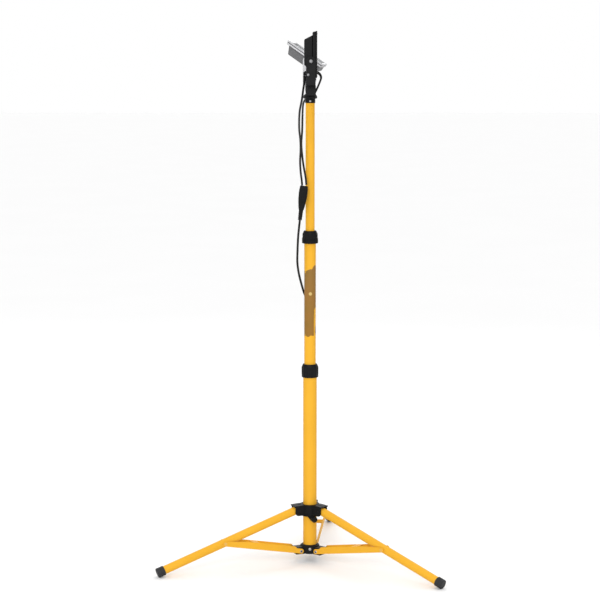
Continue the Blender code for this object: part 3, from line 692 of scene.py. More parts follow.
def hank_path(entry):
    """The stored cord's line: in at the lower fold, up behind and down in front, and out to the plug."""
    low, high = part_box("cord_hank")
    edge = CORD_RADIUS + HANK_GAP
    y, radius = (low.y + high.y) / 2, (high.y - low.y) / 2 - edge
    bottom, top = low.z + radius + edge, high.z - radius - edge
    first = (low.x + high.x) / 2 - STRAND_PITCH * (HANK_STRANDS - 1) / 2

    def fold(x, height, angle, shift=0.0):
        a = math.radians(angle)
        across, up = radius * math.cos(a), radius * math.sin(a)
        return Vector((x + shift * ripple(angle / 360), y + across, height + up))

    points = [Vector((entry.x + (first - entry.x) * 0.6, y - radius * 0.55, bottom - radius * 0.93))]
    for turn in range(HANK_STRANDS - 1):
        x = first + STRAND_PITCH * turn
        points += [fold(x, bottom, a) for a in range(-90 if turn == 0 else -162, 1, 18)]
        points += [Vector((x, y + radius, bottom + (top - bottom) * k / 5)) for k in range(1, 5)]
        points += [fold(x, top, a, STRAND_PITCH) for a in range(0, 181, 15)]
        straight = range(1, 6) if turn < HANK_STRANDS - 2 else range(1, 2)
        points += [Vector((x + STRAND_PITCH, y - radius, top - (top - bottom) * k / 5)) for k in straight]
    out, last = middle("mains_plug"), points[-1]
    drop = last.z - (low.z + 0.006)
    for share in (0.25, 0.5, 0.75, 1.0):
        ease = share * share * (3 - 2 * share)
        points.append(Vector((last.x, last.y + (out.y - last.y) * ease, last.z - drop * share)))
    points.append(Vector(((last.x + 2 * out.x) / 3, out.y, low.z - 0.005)))
    points.append(Vector((out.x, out.y, low.z - 0.0145)))
    return points


def mains():
    """The mains cord in two parts. The second holds the hank."""
    upper, lower = parted(smooth_route(on_axis(CORD_ROUTE), 0.0065), CORD_SPLIT)
    first = flexible("mains_cord_upper", upper, CORD_RADIUS,
                     replaced="mains_cord")
    stored = smooth_route([*lower, *hank_path(lower[-1])], 0.0095)
    second = flexible("mains_cord_lower", stored, CORD_RADIUS,
                      replaced="cord_hank")
    return first, second, upper, stored


def hank_tie():
    """A rubber strap round the collar and the hank, with its buckle behind."""
    low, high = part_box("hank_tie")
    reach, thick = round_size("upper_collar")[0] + 0.0005, 0.0010
    side, back = (high.x - low.x) / 2 - thick, high.y - AXIS.y - thick

    def band(grow):
        x, y = side + grow, back + grow
        return [*arc((0, 0), reach + grow, 190, 350, 20), (x, 0.018), (x, y, 0.004), (-x, y, 0.004),
                (-x, 0.018)]

    strap = cut(prism(band(thick), low.z, high.z, "Z", 0.0003),
                prism(band(0), low.z - 0.01, high.z + 0.01, "Z", 0))
    buckle = block((-0.006, back + thick - 0.0006, low.z - 0.0008),
                   (0.006, back + thick + 0.0030, high.z + 0.0008), 0.0006, 0.001)
    return piece("tie_strap", joined(strap, buckle), "rubber", "middle_mast", "hank_tie")


def mains_plug():
    """A flat two-pin plug with finger grips, hanging below the hank."""
    centre = middle("mains_plug")
    at = Matrix.Translation((centre.x, centre.y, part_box("cord_hank")[0].z - 0.013))
    half = [(0.0172, -0.0355, 0.003), (0.0172, -0.0215, 0.006), (0.0066, -0.004, 0.006),
            (0.0046, -0.0012, 0.0005)]
    body = prism(half + [(-y, z, soft) for y, z, soft in reversed(half)], -0.0067, 0.0067, "X", 0.0022)
    grips = [block((x, -0.011, z), (x + 0.002, 0.011, z + 0.0012), 0.0002) for x in (-0.0077, 0.0057)
             for z in (-0.028, -0.0245, -0.021)]
    radii = [0.0036 + 0.0012 * k / 33 - 0.0005 * (0.5 - 0.5 * math.cos(k * 0.95)) for k in range(34)]
    sleeve = hose([(0, 0, 0.0105 - 0.0004 * k) for k in range(34)], radii, 28)
    made = piece("plug_body", cut(joined(body, sleeve), *grips), "rubber", "middle_mast", "mains_plug", at)
    pin = [(0, -0.0548), (0.0012, -0.0548), (0.0020, -0.0535), (0.0020, -0.0345), (0, -0.0345)]
    pins = [put(lathe(pin, 24, soft=0.0004), (0, y, 0)) for y in (-0.0093, 0.0093)]
    contacts = piece("plug_pins", gathered(*pins), "steel", "middle_mast", at=at)
    return made, contacts


def cords():
    """The splitter, the tie, the plug, the two leads and the mains cord."""
    hub = splitter()
    strap = hank_tie()
    plug = mains_plug()
    for side in ("right", "left"):
        first, second, upper, lower, gland = lead(side)
    first, second, upper, stored = mains()


# ---- Mast -----------------------------------------------------------------------------------------------

GAP = 0.0003


def round_size(node):
    """A round node's radius, bottom and top."""
    low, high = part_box(node)
    return (high.x - low.x) / 2, low.z, high.z


def mast():
    """Three thin-walled tubes, the bushes and the plug inside them, and the two collars."""
    for node, wall, paint, body in (("lower_tube", 0.0015, "yellow_paint", "stand"),
                                    ("middle_tube", 0.0014, "label_paint", "middle_mast"),
                                    ("upper_tube", 0.0013, "yellow_paint", "upper_mast")):
        radius, bottom, top = round_size(node)
        piece(f"{node}_painted", tube(radius, radius - wall, bottom, top), paint, body, node)
    for node in ("lower_collar_bush", "upper_collar_bush", "mast_end_plug"):
        shown_node(node, "black_plastic")
    for node, body, inner, outer in (("lower_collar", "lower_lock", "middle_tube", "lower_tube"),
                                     ("upper_collar", "upper_lock", "upper_tube", "middle_tube")):
        collar(node, body, round_size(inner)[0] + GAP, *round_size(outer)[::2])


def collar(node, body, bore, outer_radius, outer_top):
    """A ribbed twist-lock nut with a flange below. Its bore steps from the outer tube to the inner one."""
    radius, bottom, top = round_size(node)
    skirt, step = outer_radius + GAP, outer_top + 0.0063
    flange = ((0.0012, 0), (0.0002, 0.0012), (0.0002, 0.0040), (0.0009, 0.0046), (0.0009, 0.0056),
              (0, 0.0062))
    crown = ((0, 0.0085), (0.0008, 0.0072), (0.0034, 0.0012), (0.0042, 0))
    outside = [*((radius - back, bottom + up) for back, up in flange), (radius, (bottom + top) / 2),
               *((radius - back, top - down) for back, down in crown)]
    inside = [(bore + 0.0012, top), (bore, top - 0.0010), (bore, step), (skirt, step)]
    nut = lathe([(skirt, bottom), *outside, *inside], 216, soft=0.0004,
                wave=(18, 0.0011, bottom + 0.0060, top - 0.0080))
    piece(f"{node}_nut", nut, "black_plastic", body, node)


def radial(azimuth, out=0.0, height=0.0):
    """A place at this direction and distance from the mast axis, with its X axis pointing outwards."""
    return MAST @ Matrix.Rotation(math.radians(azimuth), 4, "Z") @ Matrix.Translation((out, 0, height))


def azimuth_of(joint):
    """The direction from the mast axis to a joint, in degrees."""
    place = Vector(JOINTS[joint]["pos_m"]) - AXIS
    return math.degrees(math.atan2(place.y, place.x))


def pivot_of(joint):
    """A joint's distance from the mast axis, and its height."""
    x, y, height = JOINTS[joint]["pos_m"]
    return math.hypot(x - AXIS.x, y - AXIS.y), height


# ---- Tripod ---------------------------------------------------------------------------------------------

LEG_RADIUS = 0.0115
LEG_LENGTH = 0.423
FOOT_RADIUS, FOOT_HALF = 0.0135, 0.0105
BRACE_RIVET_ALONG_LEG = 0.229
BRACE_INNER, BRACE_OUTER = 0.0135, 0.0155
BRACE_TOP, BRACE_BOTTOM, BRACE_END = 0.0125, -0.0065, 0.0075
BRACE_SHOULDER = 0.014
BRACE_WEB = (0.128, 0.150)
PIN_HOLE = 0.0032
HUB_RADIUS = 0.0270
LOWER_HUB_BORE, UPPER_HUB_BORE = 0.0193, 0.0194


def leg_plane(number):
    """A leg's azimuth, its pivot, its slope in radians, and its brace's pivot, length and rise."""
    pivot, inner = pivot_of(f"leg_fold_{number}"), pivot_of(f"brace_fold_{number}")
    along, across = LEG_LENGTH + FOOT_HALF, FOOT_RADIUS
    slope = math.atan2(across, along) + math.acos((pivot[1] + 0.001) / math.hypot(along, across))
    reach = (pivot[0] + BRACE_RIVET_ALONG_LEG * math.sin(slope) - inner[0],
             pivot[1] - BRACE_RIVET_ALONG_LEG * math.cos(slope) - inner[1])
    azimuth = azimuth_of(f"leg_fold_{number}")
    return azimuth, pivot, slope, inner, math.hypot(*reach), math.atan2(reach[1], reach[0])


def leg_tube_mesh():
    """A leg tube hanging from its pivot, its top end rounded about the pivot's axis."""
    bore, turns = LEG_RADIUS - 0.0012, [2 * math.pi * k / 64 for k in range(64)]

    def ring(radius, shift=None):
        points = [(radius * math.cos(a), radius * math.sin(a)) for a in turns]
        if shift is None:
            return [(x, y, -(LEG_LENGTH + 0.007)) for x, y in points]
        return [(x, y, math.sqrt(max(0.0, LEG_RADIUS**2 - x**2)) + shift) for x, y in points]

    shell = skin([ring(bore, 0), ring(LEG_RADIUS - 0.0003, 0), ring(LEG_RADIUS, -0.0003), ring(LEG_RADIUS),
                  ring(bore)], looped=True)
    return cut(shell, rod(PIN_HOLE, -0.02, 0.02, "Y"))


def foot_cap_mesh(slope, drop):
    """A ribbed rubber cup over the leg's end, worn flat where it stands on the floor."""
    low, high = -(LEG_LENGTH + FOOT_HALF), -(LEG_LENGTH - FOOT_HALF)
    bore, ground = LEG_RADIUS + GAP, -(LEG_LENGTH + 0.0073)
    outside = [(0, low), (0.0095, low, 0.0008), (FOOT_RADIUS, low, 0.0022), (FOOT_RADIUS, high - 0.0150)]
    for ridge in range(3):
        z = high - 0.0130 + 0.0034 * ridge
        outside += [(FOOT_RADIUS, z), (FOOT_RADIUS - 0.0007, z + 0.0006),
                    (FOOT_RADIUS - 0.0007, z + 0.0014), (FOOT_RADIUS, z + 0.0020)]
    profile = outside + [(FOOT_RADIUS, high, 0.0009), (bore, high, 0.0003), (bore, ground), (0, ground)]
    cup = lathe(profile, 72, soft=0.0002)
    bm = bmesh.new()
    bm.from_mesh(cup)
    down = Vector((-math.sin(slope), 0, -math.cos(slope)))
    whole = bm.verts[:] + bm.edges[:] + bm.faces[:]
    bmesh.ops.bisect_plane(bm, geom=whole, plane_co=down * drop, plane_no=down, clear_outer=True)
    bmesh.ops.holes_fill(bm, edges=[e for e in bm.edges if e.is_boundary])
    return mesh_of(bm)


def brace_mesh(length):
    """Two flat bars joined by a short web, with rounded ends and holes for their pins."""
    outline = [*arc((0, 0), BRACE_END, 90, 240), (0.012, BRACE_BOTTOM, 0.004),
               (length - 0.006, BRACE_BOTTOM, 0.004), *arc((length, 0), BRACE_END, -60, 80),
               (BRACE_WEB[1] + 0.012, BRACE_TOP, 0.02), (BRACE_SHOULDER + 0.007, BRACE_TOP, 0.006),
               (BRACE_SHOULDER, BRACE_END, 0.004)]
    walls = [prism(outline, BRACE_INNER, BRACE_OUTER, rim=0.0008),
             prism(outline, -BRACE_OUTER, -BRACE_INNER, rim=0.0008)]
    half = BRACE_OUTER - 0.0006
    web = block((BRACE_WEB[0], -half, BRACE_TOP - 0.0020), (BRACE_WEB[1], half, BRACE_TOP - 0.0001),
                0.0004, 0.003, "Z")
    return cut(joined(web, *walls), rod(PIN_HOLE, -0.02, 0.02, "Y"))


def pin_mesh(half, head):
    """A pin with a domed head at each end. Its heads stand outside the cheeks that it holds."""
    shank = rod(0.0028, -half - 0.0004, half + 0.0004, "Y")
    under, rim, top = half + 0.0001, half + 0.0008, half + 0.0018
    dome = [(0, under), (head, under), (head, rim), (head * 0.72, rim + 0.0006), (0, top)]
    cap = lathe(dome, 40, "Y", 0.0003)
    return joined(shank, cap, put(cap.copy(), turn=180))


def hollow_rivet_mesh(half, head):
    """A tubular rivet that is rolled over at both ends, with a hole through it."""
    bore, shank, under, rim = 0.0017, 0.0028, half + 0.0001, half + 0.0011
    roll = [(bore + 0.0004, rim, 0.0003), (head - 0.0012, rim, 0.0005), (head, under, 0.0002),
            (shank, under)]
    other = [(radius, -height, *soft) for radius, height, *soft in reversed(roll)]
    return lathe([(bore, -half), (bore, half), *roll, *other], 40, "Y")


def rivets_mesh():
    """The dished rivet heads on both sides of a brace's outer end."""
    under, face = BRACE_OUTER - 0.0003, BRACE_OUTER + 0.0012
    dish = face - 0.0009
    head = lathe([(0, under), (0.0048, under), (0.0048, face, 0.0006), (0.0030, face, 0.0004),
                  (0.0024, dish), (0, dish)], 40, "Y")
    return gathered(head.copy(), put(head, turn=180))


def tripod():
    """Three legs with their feet, braces and pins, and the two hubs."""
    for number in (1, 2, 3):
        azimuth, pivot, slope, inner, length, rise = leg_plane(number)
        leg_body, brace_body = f"leg_{number}", f"brace_arm_{number}"
        leg = radial(azimuth, *pivot) @ Matrix.Rotation(-slope, 4, "Y")
        piece(f"leg_{number}_tube", leg_tube_mesh(), "yellow_paint", leg_body, f"leg_tube_{number}", leg)
        foot = foot_cap_mesh(slope, pivot[1])
        piece(f"foot_{number}", foot, "foot_rubber", leg_body, f"foot_cap_{number}", leg)
        brace = radial(azimuth, *inner) @ Matrix.Rotation(-rise, 4, "Y")
        bars = brace_mesh(length)
        piece(f"brace_{number}_bars", bars, "yellow_paint", brace_body, f"brace_{number}", brace)
        piece(f"brace_{number}_rivets", rivets_mesh(), "rivet_paint", brace_body,
              at=brace @ Matrix.Translation((length, 0, 0)))
        at = radial(azimuth, *inner)
        pin, core = hollow_rivet_mesh(BRACE_OUTER, 0.0046), BRACE_OUTER - 0.0012
        piece(f"brace_{number}_pin", pin, "steel", "stand", f"brace_pin_{number}", at)
        piece(f"brace_{number}_pin_core", rod(0.0016, -core, core, "Y", 24), "black_metal", "stand", at=at)
        pin = pin_mesh(LEG_RADIUS + 0.0049, 0.0046)
        piece(f"leg_{number}_pin", pin, "black_metal", "hub", f"leg_pin_{number}", radial(azimuth, *pivot))
    lower_hub()
    upper_hub()


def lower_hub():
    """The fixed hub: a ring, a lug inside each brace, and the screw that holds it to the mast."""
    px, pz = pivot_of("brace_fold_1")
    azimuths = [azimuth_of(f"brace_fold_{n}") for n in (1, 2, 3)]
    low, high = 0.0280, 0.0505
    ring = lathe([(LOWER_HUB_BORE, low, 0.0003), (HUB_RADIUS, low, 0.0012), (HUB_RADIUS, 0.0470, 0.0015),
                  (0.0222, high, 0.0008), (LOWER_HUB_BORE, high, 0.0003)], 96)
    outline = [(0.0205, 0.0250), (0.0460, 0.0250, 0.002), (0.0500, 0.0290, 0.002), (0.0505, 0.0415, 0.001),
               (0.0550, 0.0435, 0.0005), (0.0550, 0.0455, 0.0008), (0.0205, 0.0455)]
    half = BRACE_INNER - 0.0007
    lugs = [put(prism(outline, -half, half, rim=0.0009), turn=a) for a in azimuths]
    pockets = [put(block((x, -0.0095, 0.0200), (x + 0.0065, 0.0095, 0.0275), 0, 0.001), turn=a)
               for a in azimuths for x in (0.0290, 0.0385)]
    holes = [put(rod(PIN_HOLE, -0.02, 0.02, "Y"), (px, 0, pz), a) for a in azimuths]
    height = middle("lower_hub_screw").z
    screw_hole = put(rod(0.0026, 0.015, 0.03, "X"), (0, 0, height), -90)
    moulding = cut(joined(ring, *lugs), screw_hole, *holes, *pockets)
    piece("lower_hub_moulding", moulding, "black_plastic", "stand", "lower_hub")
    bolt = screw(0.0042, 0.0019, 0.0273, 0.0022, 0.0196, "X")
    piece("lower_hub_bolt", bolt, "steel", "stand", "lower_hub_screw", radial(-90, 0, height))


def upper_hub():
    """The sliding hub: a sleeve, a roof with a rib and two cheeks for each leg, and the lock knob's boss."""
    inner, outer = LEG_RADIUS + 0.0008, LEG_RADIUS + 0.0048
    px, pz = pivot_of("leg_fold_1")
    azimuths = [azimuth_of(f"leg_fold_{n}") for n in (1, 2, 3)]
    roof, end = pz + LEG_RADIUS + GAP, px + 0.009
    low, high = 0.1335, roof + 0.0035
    sleeve = lathe([(UPPER_HUB_BORE, low, 0.0003), (HUB_RADIUS, low, 0.001), (HUB_RADIUS, high, 0.0012),
                    (UPPER_HUB_BORE, high, 0.0003)], 96)
    cheek = [(0.022, 0.1365), *arc((px, 0.1455), 0.009, -90, 0, 8), (end, roof + 0.0012),
             (0.022, roof + 0.0012)]
    cover = [(0.021, roof), (end, roof, 0.001), (0.0505, 0.1610, 0.001), (0.0525, 0.1618, 0.0005),
             (0.0515, 0.1645, 0.0010), (0.030, roof + 0.0038, 0.01), (0.021, roof + 0.0038)]
    rib = [(0.0275, roof + 0.003), (0.048, roof + 0.001), (0.048, roof + 0.0029), (0.0275, roof + 0.0050)]
    walls = ((cover, (-outer, outer), 0.0012), (cheek, (inner, outer), 0.0009),
             (cheek, (-outer, -inner), 0.0009), (rib, (-0.0016, 0.0016), 0.0004))
    parts = [put(prism(outline, *span, rim=rim), turn=a) for a in azimuths for outline, span, rim in walls]
    height, azimuth = pivot_of("lock_knob_turn")[1], azimuth_of("lock_knob_turn")
    boss = lathe([(0, 0.0215), (0.0080, 0.0215), (0.0080, 0.0280, 0.0012), (0, 0.0280)], 48, "X")
    gusset = prism([(-0.022, 0.0115), (-0.016, 0.0073, 0.004), (-0.004, -0.0068, 0.002),
                    (0.004, -0.0068, 0.002), (0.010, 0.0115)], 0.0208, 0.0258, "X", 0.0006)
    parts += [put(shape, (0, 0, height), azimuth) for shape in (boss, gusset)]
    holes = [put(rod(PIN_HOLE, -0.02, 0.02, "Y"), (px, 0, pz), a) for a in azimuths]
    holes.append(put(rod(0.0033, 0.010, 0.035, "X"), (0, 0, height), azimuth))
    piece("upper_hub_moulding", cut(joined(sleeve, *parts), *holes), "black_plastic", "hub", "upper_hub")
    knob = [(0, 0.0197), (0.0030, 0.0197), (0.0030, 0.0283), (0.0072, 0.0283, 0.0004),
            (0.0085, 0.0298, 0.0006), (0.0085, 0.0350), (0.0085, 0.0392, 0.0008), (0.0070, 0.0412, 0.0008),
            (0.0045, 0.0415), (0.0042, 0.0409), (0, 0.0409)]
    grip = lathe(knob, 120, "X", wave=(12, 0.0009, 0.0292, 0.0395))
    piece("lock_knob_grip", grip, "black_plastic", "lock_knob", "hub_knob", radial(azimuth, 0, height))


# ---- The head -------------------------------------------------------------------------------------------

CROSSBAR_WALL = 0.0015
BOLT_HOLE = 0.0043
PIVOT_HOLE = 0.0029
LAMP_TILT = {"right": 0.0, "left": math.radians(55.0)}  # back from upright
# The far lamp's silver frame and bracket and its grey back are painted sheen: reflected light on the same
# black lamp, painted as colour.
LAMP_COLOURS = {"right": ("black_metal", "black_metal"), "left": ("silver_paint", "grey_metal")}
STRIP_HALF = 0.012
STRIP_UNDER, STRIP_TOP = 0.0003, 0.0033  # above the crossbar
BRACKET_INNER, BRACKET_OUTER = 0.0895, 0.0925
LOCK_BESIDE_PIVOT, LOCK_BELOW_PIVOT = -0.007, 0.034
HOUSING_HALF, BEZEL_HALF = 0.083, 0.086
GROOVES, GROOVE_PITCH, GROOVE_HALF = 19, 0.0083, 0.0027
BOARD_CENTRE, BOARD_FRONT = 0.009, -0.0071
LED_ROWS, LED_COLUMNS, LED_PITCH = 7, 11, (0.012, 0.011)


def mast_top():
    """The moulded cap on the upper tube, with its set screw."""
    low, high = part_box("mast_socket")
    bore, top, bottom, seat = round_size("upper_tube")[0] + GAP, high.z, low.z, 1.3050
    profile = [(bore, bottom), (0.0140, bottom, 0.0005), (0.0140, 1.2970, 0.0006), (0.0185, 1.2985, 0.0010),
               (0.0195, 1.3020, 0.0012), (0.0175, 1.3070, 0.0020), (0.0130, 1.3110, 0.0010),
               (0.0125, top, 0.0004), (0, top), (0, seat), (bore, seat)]
    height = middle("socket_screw").z
    hole = put(rod(0.0021, 0.010, 0.020, "X"), (0, 0, height), -90)
    socket = cut(lathe(profile, 144, wave=(8, 0.0012, 1.2975, 1.3085)), hole)
    piece("mast_socket_moulding", socket, "black_plastic", "head", "mast_socket")
    set_screw = screw(0.0029, 0.0016, 0.0143, 0.0018, 0.0131, "X")
    piece("mast_socket_screw", set_screw, "steel", "head", "socket_screw", radial(-90, 0, height))


def crossbar():
    """A square tube with a hole for each bracket's bolt, and a cap in each end."""
    low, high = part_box("crossbar")
    half, end = (high.x - low.x) / 2, (high.y - low.y) / 2
    inside = half - CROSSBAR_WALL
    bolts = [middle(f"bracket_bolt_{side}").y - AXIS.y for side in ("right", "left")]
    bar = cut(block((-half, -end, -half), (half, end, half), 0.0004, 0.0022),
              block((-inside, -end - 0.01, -inside), (inside, end + 0.01, inside), 0, 0.0010),
              *(put(rod(BOLT_HOLE, 0, 0.03), (0, y, 0)) for y in bolts))
    centre = MAST @ Matrix.Translation((0, 0, (low.z + high.z) / 2))
    piece("crossbar_tube", bar, "black_metal", "head", "crossbar", centre)
    fit = inside - 0.0004
    for side, turn in (("right", math.pi), ("left", 0)):
        lid = block((-half, 0.0003, -half), (half, 0.0030, half), 0.0009, 0.0024)
        plug = block((-fit, -0.0140, -fit), (fit, 0.0010, fit), 0.0005, 0.001)
        dish = block((-0.0085, 0.0024, -0.0085), (0.0085, 0.0050, 0.0085), 0, 0.002)
        place = centre @ Matrix.Rotation(turn, 4, "Z") @ Matrix.Translation((0, end, 0))
        piece(f"crossbar_end_{side}", cut(joined(lid, plug), dish), "black_plastic", "head",
              f"crossbar_cap_{side}", place)


def bracket_mesh(rise):
    """A strip bent into a U, with rounded tops at the tilt pivots and holes for its bolt and screws."""
    w, i, o, top, foot = STRIP_HALF, BRACKET_INNER, BRACKET_OUTER, rise + 0.02, STRIP_HALF + 0.001
    strip = prism([(-o, top), (-o, STRIP_UNDER, 0.0046), (o, STRIP_UNDER, 0.0046), (o, top), (i, top),
                   (i, STRIP_TOP, 0.0020), (-i, STRIP_TOP, 0.0020), (-i, top)], -w, w, "X", 0.0006)
    side = [(-foot, -0.01), (foot, -0.01), (foot, 0.030), (w, 0.034), (w, rise),
            *arc((0, rise), w, 8, 172, 14), (-w, rise), (-w, 0.034), (-foot, 0.030)]
    strip = combined(strip, [prism(side, -0.11, 0.11, rim=0)], "INTERSECT")
    pivot = put(rod(PIVOT_HOLE, -0.1, 0.1, "Y"), (0, 0, rise))
    lock = put(rod(0.0024, -0.1, -0.08, "Y"), (LOCK_BESIDE_PIVOT, 0, rise - LOCK_BELOW_PIVOT))
    return cut(strip, pivot, rod(BOLT_HOLE, -0.01, 0.01), lock)


def housing_mesh():
    """The lamp's cast back shell: finned behind the LEDs, shallower below the pivot, open in front."""
    front = 0.0045
    side = [(front, -0.0395, 0.0006), (front, 0.066, 0.0006), (-0.017, 0.055, 0.0035),
            (-0.017, -0.009, 0.0015), (-0.012, -0.014, 0.0015), (-0.012, -0.0365, 0.001),
            (-0.008, -0.0395, 0.002)]
    middles = [GROOVE_PITCH * (k - (GROOVES - 1) / 2) for k in range(GROOVES)]
    grooves = [block((-0.020, y - GROOVE_HALF, -0.003), (-0.0118, y + GROOVE_HALF, 0.0475), 0, 0.0012, "X")
               for y in middles]
    hollow = block((-0.009, -0.078, -0.035), (front + 0.01, 0.078, 0.052), 0, 0.003)
    pivots = rod(PIVOT_HOLE, -0.1, 0.1, "Y")
    wire = put(rod(0.0030, -0.02, 0, "X"), (0, 0, -0.031))
    shell = prism(side, -HOUSING_HALF, HOUSING_HALF, rim=0.0022)
    return cut(shell, hollow, pivots, wire, gathered(*grooves))


def bezel_mesh():
    """The front frame in two layers with a seam between them, and a lip in front of the glass."""
    back, front, half, neck_half = 0.0048, 0.016, BEZEL_HALF, BEZEL_HALF - 0.0014
    rear = prism([(back, -0.0405, 0.001), (back, 0.0735, 0.001), (0.0104, 0.0752, 0.0005),
                  (0.0104, -0.0421, 0.0005), (0.0075, -0.0425, 0.001)], -half, half, rim=0.0012)
    fore = prism([(0.0114, 0.0757, 0.0005), (front, 0.0770, 0.0014), (front, -0.0405, 0.0018),
                  (0.0140, -0.0425, 0.001), (0.0114, -0.0425, 0.0005)], -half, half, rim=0.0014)
    neck = block((0.0095, -neck_half, -0.0410), (0.0125, neck_half, 0.0738), 0)
    seat = block((0, -0.0780, -0.0370), (0.0128, 0.0780, 0.0660), 0, 0.001)
    window = block((0, -0.0745, -0.0335), (0.02, 0.0745, 0.0625), 0, 0.004, "X")
    edges = ((0.0136, 0.0745, 0.0480), (0.0166, 0.0775, 0.0510))
    chamfer = skin([box_ring(*edge, 0.0145, 0.004) for edge in edges])
    return cut(joined(rear, neck, fore), seat, window, chamfer)


def box_ring(x, half_y, half_z, centre_z, soft):
    """A rounded rectangle across the X axis."""
    corners = [(-half_y, -half_z), (half_y, -half_z), (half_y, half_z), (-half_y, half_z)]
    return [(x, y, z + centre_z) for y, z in softened(corners, soft)]


def led_meshes():
    """The board's LED packages and their lenses, in rows."""
    bases, lenses = [], []
    for row in range(LED_ROWS):
        for column in range(LED_COLUMNS):
            y = LED_PITCH[0] * (column - (LED_COLUMNS - 1) / 2)
            z = LED_PITCH[1] * (row - (LED_ROWS - 1) / 2) + BOARD_CENTRE
            bases.append(block((-0.00712, y - 0.0024, z - 0.0024), (-0.00625, y + 0.0024, z + 0.0024),
                               0.0002, 0.0003, "X"))
            lens = [(0, -0.0063), (0.0018, -0.0063), (0.0016, -0.00575), (0.0008, -0.0055), (0, -0.00545)]
            lenses.append(put(lathe(lens, 14, "X"), (0, y, z)))
    return gathered(*bases), gathered(*lenses)


def tray_mesh():
    """The bright tray between the board and the glass."""
    sizes = ((-0.0060, 0.0680, 0.0370), (0.0040, 0.0765, 0.0420), (0.0052, 0.0772, 0.0425),
             (0.0052, 0.0776, 0.0429), (0.0038, 0.0770, 0.0425), (-0.0066, 0.0683, 0.0373))
    return skin([box_ring(*size, BOARD_CENTRE, 0.006) for size in sizes], looped=True)


def bracket(side, rise, arm):
    """A lamp's bracket, the bolt that it turns on, and the screw that locks it."""
    coat, body, seat = LAMP_COLOURS[side][0], f"arm_{side}", STRIP_TOP + 0.0003
    piece(f"bracket_{side}_strip", bracket_mesh(rise), coat, body, f"bracket_{side}", arm)
    washer = lathe([(0.0045, seat), (0.0090, seat, 0.0002), (0.0090, seat + 0.0010, 0.0003),
                    (0.0045, seat + 0.0010)], 48)
    hexagon = prism(arc((0, 0), 0.0074, 0, 300, 5), seat + 0.0010, seat + 0.0040, "Z", 0.0005)
    bolt = joined(rod(0.0040, -0.016, seat + 0.002), hexagon)
    piece(f"bracket_{side}_bolt", bolt, "steel", "head", f"bracket_bolt_{side}", arm)
    piece(f"bracket_{side}_washer", washer, "steel", "head", at=arm)
    lock_at = (arm @ Matrix.Translation((LOCK_BESIDE_PIVOT, 0, rise - LOCK_BELOW_PIVOT))
               @ Matrix.Rotation(math.pi, 4, "Z"))
    lock = screw(0.0036, 0.0026, BRACKET_OUTER + 0.0008, 0.0021, 0.0884, "Y")
    piece(f"bracket_{side}_screw", lock, "dull_steel", body, f"bracket_screw_{side}", lock_at)
    ring = washer_mesh(0.0021, 0.0054, BRACKET_OUTER + 0.0002)
    piece(f"bracket_{side}_lock_washer", ring, coat, body, at=lock_at)


def washer_mesh(bore, radius, seat):
    top = seat + 0.0007
    return lathe([(bore, seat), (radius, seat), (radius, top, 0.0002), (bore, top)], 40, "Y")


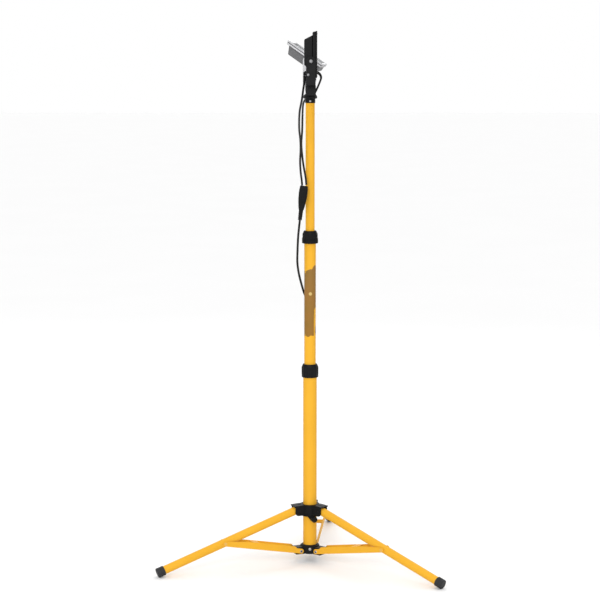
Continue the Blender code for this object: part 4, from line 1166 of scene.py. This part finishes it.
def lamp_head(side, head):
    """A lamp's housing and frame, its glass, its lights, its gland and its screws."""
    # For the far lamp, the frame's and shell's colours are painted sheen on black paint.
    (coat, shell), body = LAMP_COLOURS[side], f"lamp_{side}"
    piece(f"housing_{side}_casting", housing_mesh(), shell, body, f"housing_{side}", head)
    piece(f"bezel_{side}_frame", bezel_mesh(), coat, body, f"bezel_{side}", head)
    seal = cut(block((0.0104, -0.0852, -0.0416), (0.0114, 0.0852, 0.0744), 0, 0.0008, "X"),
               block((0, -0.0840, -0.0405), (0.02, 0.0840, 0.0732), 0))
    piece(f"seal_{side}", seal, "seal", body, at=head)
    glass = block((0.0092, -0.0775, -0.0365), (0.0125, 0.0775, 0.0655), 0.0005, 0.001, "X")
    piece(f"glass_{side}_pane", glass, "lamp_glass", body, f"glass_{side}", head)
    board = block((BOARD_FRONT - 0.0016, -0.07, -0.031), (BOARD_FRONT, 0.07, 0.049), 0.0002, 0.002, "X")
    piece(f"board_{side}", board, "led_board", body, f"led_board_{side}", head)
    bases, lenses = led_meshes()
    piece(f"leds_{side}", bases, "led_board", body, at=head)
    piece(f"led_lenses_{side}", lenses, "led_lens", body, at=head)
    piece(f"tray_{side}", tray_mesh(), "reflector", body, at=head)
    gland = prism([(-0.0123, -0.0370, 0.0004), (-0.0123, -0.0250, 0.0004), (-0.0150, -0.0250, 0.0010),
                   (-0.0190, -0.0290, 0.0015), (-0.0190, -0.0370, 0.0008)], -0.006, 0.006, rim=0.0010)
    piece(f"gland_{side}", gland, "rubber", body, f"cable_gland_{side}", head)
    screws = [put(screw_head(0.0022, 0.0010, 0.0158, axis="X"), (0, y, z))
              for y in (-0.0812, 0.0812) for z in (-0.0372, 0.0695)]
    piece(f"bezel_{side}_screws", gathered(*screws), "steel", body, at=head)


def lamp(side):
    """One lamp on its bracket, with the two bolts that it tilts on."""
    pan_joint, tilt_joint = JOINTS[f"pan_{side}"], JOINTS[f"tilt_{side}"]
    across, base = Vector(tilt_joint["axis"]), Vector(pan_joint["pos_m"])
    rise = tilt_joint["pos_m"][2] - base.z
    arm = Matrix.Translation(base) @ Matrix.Rotation(math.atan2(across.x, -across.y), 4, "Z")
    pivot = arm @ Matrix.Translation((0, 0, rise))
    head = pivot @ Matrix.Rotation(-LAMP_TILT[side], 4, "Y")
    bracket(side, rise, arm)
    lamp_head(side, head)
    for end, turn in (("inner", 0), ("outer", math.pi)):
        facing = Matrix.Rotation(turn if base.y < AXIS.y else math.pi - turn, 4, "Z")
        bolt = screw(0.0050, 0.0036, BRACKET_OUTER + 0.0007, 0.0026, 0.0802, "Y", "hexagon")
        piece(f"pivot_{side}_{end}", bolt, "dull_steel", f"lamp_{side}", f"pivot_bolt_{side}_{end}",
              head @ facing)
        ring = washer_mesh(0.0028, 0.0066, BRACKET_OUTER + 0.0001)
        piece(f"pivot_{side}_{end}_washer", ring, LAMP_COLOURS[side][0], f"arm_{side}", at=pivot @ facing)


camera()
cords()
mast()
tripod()
mast_top()
crossbar()
for lamp_side in ("right", "left"):
    lamp(lamp_side)
studio()
